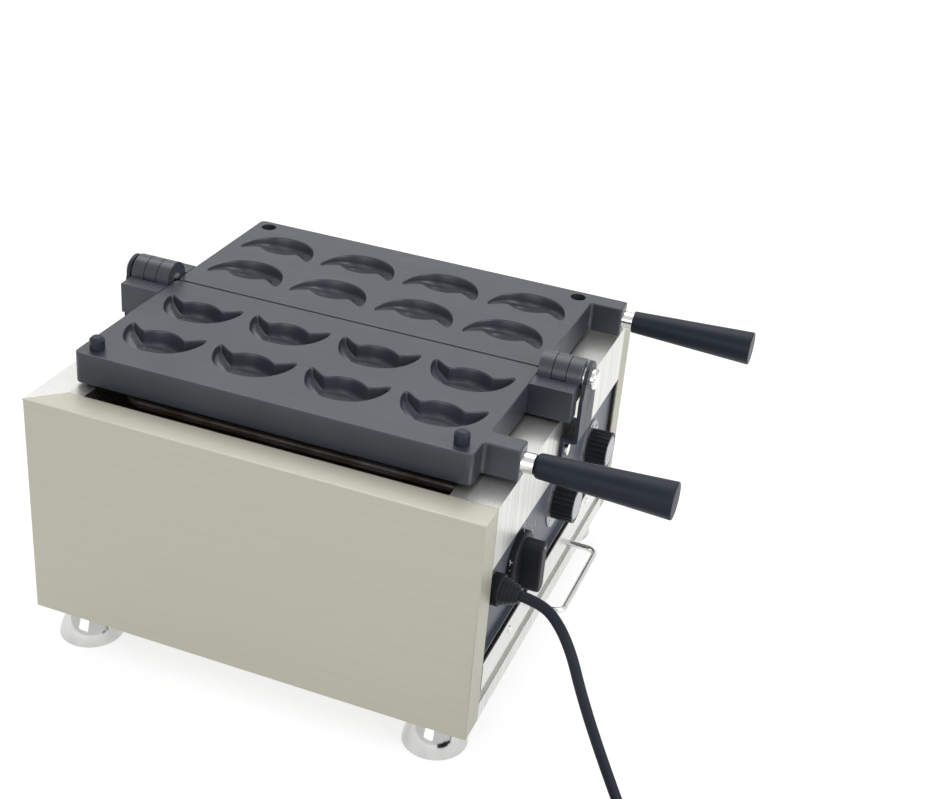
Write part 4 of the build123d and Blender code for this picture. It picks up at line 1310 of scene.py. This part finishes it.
def lettering(shape: bmesh.types.BMesh, place: Matrix, text: str, height: float, depth: float) -> None:
    """Add a plain number as raised print, centred on its place.

    Args:
        shape: The mesh that it is added to.
        place: Turns the print's own millimetres into the scene's.
        text: The number.
        height: Height of its figures.
        depth: Thickness of the print.
    """
    curve = bpy.data.curves.new("figures", "FONT")
    curve.body = text
    curve.size = height / FIGURE_SHARE
    curve.align_x, curve.align_y = "CENTER", "CENTER"
    curve.extrude = depth / 2.0
    curve.resolution_u = 3
    figures = bpy.data.objects.new("figures", curve)
    mesh = figures.to_mesh()
    mesh.transform(place @ Matrix.Translation((0.0, 0.0, depth / 2.0)))
    shape.from_mesh(mesh)
    figures.to_mesh_clear()
    bpy.data.objects.remove(figures)
    bpy.data.curves.remove(curve)


def facing_user(x: float, y: float, z: float) -> Matrix:
    """Place on a face toward the user: first axis along X, second up, third toward the user."""
    return Matrix(((1.0, 0.0, 0.0, x), (0.0, 0.0, -1.0, y), (0.0, 1.0, 0.0, z), (0.0, 0.0, 0.0, 1.0)))


MINUTES = tuple(str(minute) for minute in range(6))
DEGREES = tuple(str(degrees) for degrees in range(0, 301, 50))
TIMER_SWEEP = 300.0
THERMOSTAT_START, THERMOSTAT_SWEEP = -135.0, 270.0


@dataclass(frozen=True)
class Scale:
    """Printed ring of ticks and plain numbers round a control, in millimetres.

    Attributes:
        node: Node whose middle the ring is set out from.
        face: Node whose front face carries the print.
        numbers: The numbers in clockwise order.
        start: Angle of the first number, clockwise from the top, in degrees.
        sweep: Angle from the first to the last number, in degrees.
        ticks: Inner and outer radius of the ticks.
        minor: Ticks from one number to the next.
        reach: Radius of the numbers.
        height: Height of the figures.
        widths: Width of the ticks at a number and of those between.
        print_depth: Thickness of the print.
    """

    node: str
    face: str
    numbers: tuple[str, ...]
    start: float
    sweep: float
    ticks: tuple[float, float]
    minor: int
    reach: float
    height: float
    widths: tuple[float, float] = (0.6, 0.36)
    print_depth: float = 0.1

    def build(self) -> None:
        """Make the ring of print."""
        low, high = (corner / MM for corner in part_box(self.node))
        face_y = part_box(self.face)[0].y / MM
        middle = facing_user((low.x + high.x) / 2.0, face_y, (low.z + high.z) / 2.0)
        shape = bmesh.new()
        gaps = len(self.numbers) - 1
        for step in range(gaps * self.minor + 1):
            angle = math.radians(self.start + self.sweep * step / (gaps * self.minor))
            turned = middle @ Matrix.Rotation(-angle, 4, "Z")
            inner, outer = self.ticks
            major = step % self.minor == 0
            half = self.widths[0 if major else 1] / 2.0
            foot = inner if major else (inner + outer) / 2.0
            slab(shape, turned, (-half, foot, 0.0), (half, outer, self.print_depth))
            if major:
                spot = Vector((math.sin(angle), math.cos(angle), 0.0)) * self.reach
                number = self.numbers[step // self.minor]
                lettering(shape, middle @ Matrix.Translation(spot), number, self.height, self.print_depth)
        bmesh.ops.scale(shape, verts=shape.verts, vec=(MM, MM, MM))
        Maker("cabinet", "cap_grey").piece(f"scale_{self.node}", shape, self.finish, smooth=False)

    @property
    def finish(self) -> MouldedPlastic:
        """White print on the panel and dark print on a grey plate."""
        return PRINT_WHITE if self.face == "control_panel" else PRINT_DARK


@dataclass(frozen=True)
class Controls:
    """Control panel, knobs, dials, cable gland and the switch bodies behind, in millimetres.

    Attributes:
        scales: The printed rings.
        marks: Arguments of mark for each knob.
        dot_radius: Radius of a pointer dot.
        dot_height: Height of a pointer dot.
        gland_dome: Radius of the gland's dome at its root, its taper in degrees and its length.
        gland_ribs: Ribs on the dome.
        gland_rib: Width of a rib and its rise over the dome.
        gland_bare: Bare lengths at the dome's root and at its tip.
    """

    scales: tuple[Scale, ...] = (
        Scale("timer_knob", "control_panel", MINUTES, 0.0, TIMER_SWEEP, (26.0, 29.0), 5, 32.5, 4.2),
        *(
            Scale(
                f"thermostat_knob_{side}",
                "dial_plates",
                DEGREES,
                THERMOSTAT_START,
                THERMOSTAT_SWEEP,
                (20.8, 22.6),
                5,
                18.6,
                2.2,
            )
            for side in ("left", "right")
        ),
    )
    marks: tuple[tuple[str, str, float, float], ...] = (
        ("timer", "timer_knob", 17.5, 0.0),
        ("left_thermostat", "thermostat_knob_left", 14.0, THERMOSTAT_START),
        ("right_thermostat", "thermostat_knob_right", 14.0, THERMOSTAT_START),
    )
    dot_radius: float = 1.1
    dot_height: float = 0.15
    gland_dome: Point = (10.0, 18.0, 13.0)
    gland_ribs: int = 4
    gland_rib: tuple[float, float] = (1.5, 0.7)
    gland_bare: tuple[float, float] = (0.8, 2.0)

    def build(self) -> None:
        """Dress the controls and add print, marks and ribs."""
        Dresser.dress(PANEL, "control_panel")
        Dresser.dress(KNOB_PLASTIC, "timer_knob", "thermostat_knob_left", "thermostat_knob_right")
        Dresser.dress(KNOB_PLASTIC, "cable_gland", "gland_nut")
        Dresser.dress(CAP_DISC, "knob_cap_left", "knob_cap_right", "dial_plates")
        Dresser.dress(BRIGHT_STEEL, "timer_shaft", "thermostat_shaft_left", "thermostat_shaft_right")
        Dresser.dress(STEEL_RAIL, "timer_body")
        Dresser.dress(SWITCH_PLASTIC, "thermostat_bodies", "terminal_block")
        for scale in self.scales:
            scale.build()
        for mark in self.marks:
            self.mark(*mark)
        self.ribs()

    def mark(self, body: str, knob: str, reach: float, clockwise: float) -> None:
        """Put the white pointer dot on a knob's face.

        Args:
            body: Body that the knob turns with.
            knob: The knob's node.
            reach: Distance of the dot from the knob's axis, in millimetres.
            clockwise: Its angle from the top, in degrees.
        """
        low, high = (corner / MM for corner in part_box(knob))
        angle = math.radians(clockwise)
        x = (low.x + high.x) / 2.0 + reach * math.sin(angle)
        z = (low.z + high.z) / 2.0 + reach * math.cos(angle)
        shape = bmesh.new()
        drum(shape, (x, low.y, z), (x, low.y - self.dot_height, z), self.dot_radius, self.dot_radius)
        bmesh.ops.scale(shape, verts=shape.verts, vec=(MM, MM, MM))
        Maker(body, "cap_grey").piece(f"mark_{knob}", shape, PRINT_WHITE)

    def ribs(self) -> None:
        """Put flexing ribs round the cable gland's tapered dome."""
        low, high = (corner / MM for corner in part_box("cable_gland"))
        x = (low.x + high.x) / 2.0
        z = (low.z + high.z) / 2.0
        base, taper, length = self.gland_dome
        width, rise = self.gland_rib
        root, tip = self.gland_bare
        root_y = low.y + length
        pitch = (length - tip) / self.gland_ribs
        slope = math.tan(math.radians(taper))
        shape = bmesh.new()
        for rib in range(self.gland_ribs):
            near = root + rib * pitch
            far = near + width
            radii = [base + rise - part * slope for part in (near, far)]
            drum(shape, (x, root_y - near, z), (x, root_y - far, z), *radii, 48)
        bmesh.ops.scale(shape, verts=shape.verts, vec=(MM, MM, MM))
        Maker("cabinet", "knob_black").piece("gland_ribs", shape, KNOB_PLASTIC)


@dataclass(frozen=True)
class Tray:
    """Drip tray with its front and wire handle."""

    def build(self) -> None:
        """Dress the tray."""
        Dresser.dress(TRAY_STEEL, "drip_tray", "tray_front")
        Dresser.dress(BRIGHT_STEEL, "tray_handle", "tray_rivets")


@dataclass(frozen=True)
class Feet:
    """Spun bell feet with their bolts."""

    def build(self) -> None:
        """Dress the feet."""
        Dresser.dress(CHROME, "foot_front_left", "foot_front_right", "foot_rear_left", "foot_rear_right")
        Dresser.dress(BRIGHT_STEEL, "foot_bolts", "foot_nuts")


def main() -> None:
    """Build camera, stage and every sub-assembly in order."""
    logging.basicConfig(level=logging.INFO, format="%(name)s: %(message)s")
    PhotoCamera().build()
    PowerCord().build()
    Studio().build()
    for assembly in (Cabinet(), Heating(), MouldPair(), Controls(), Tray(), Feet()):
        assembly.build()


if __name__ == "__main__":
    main()
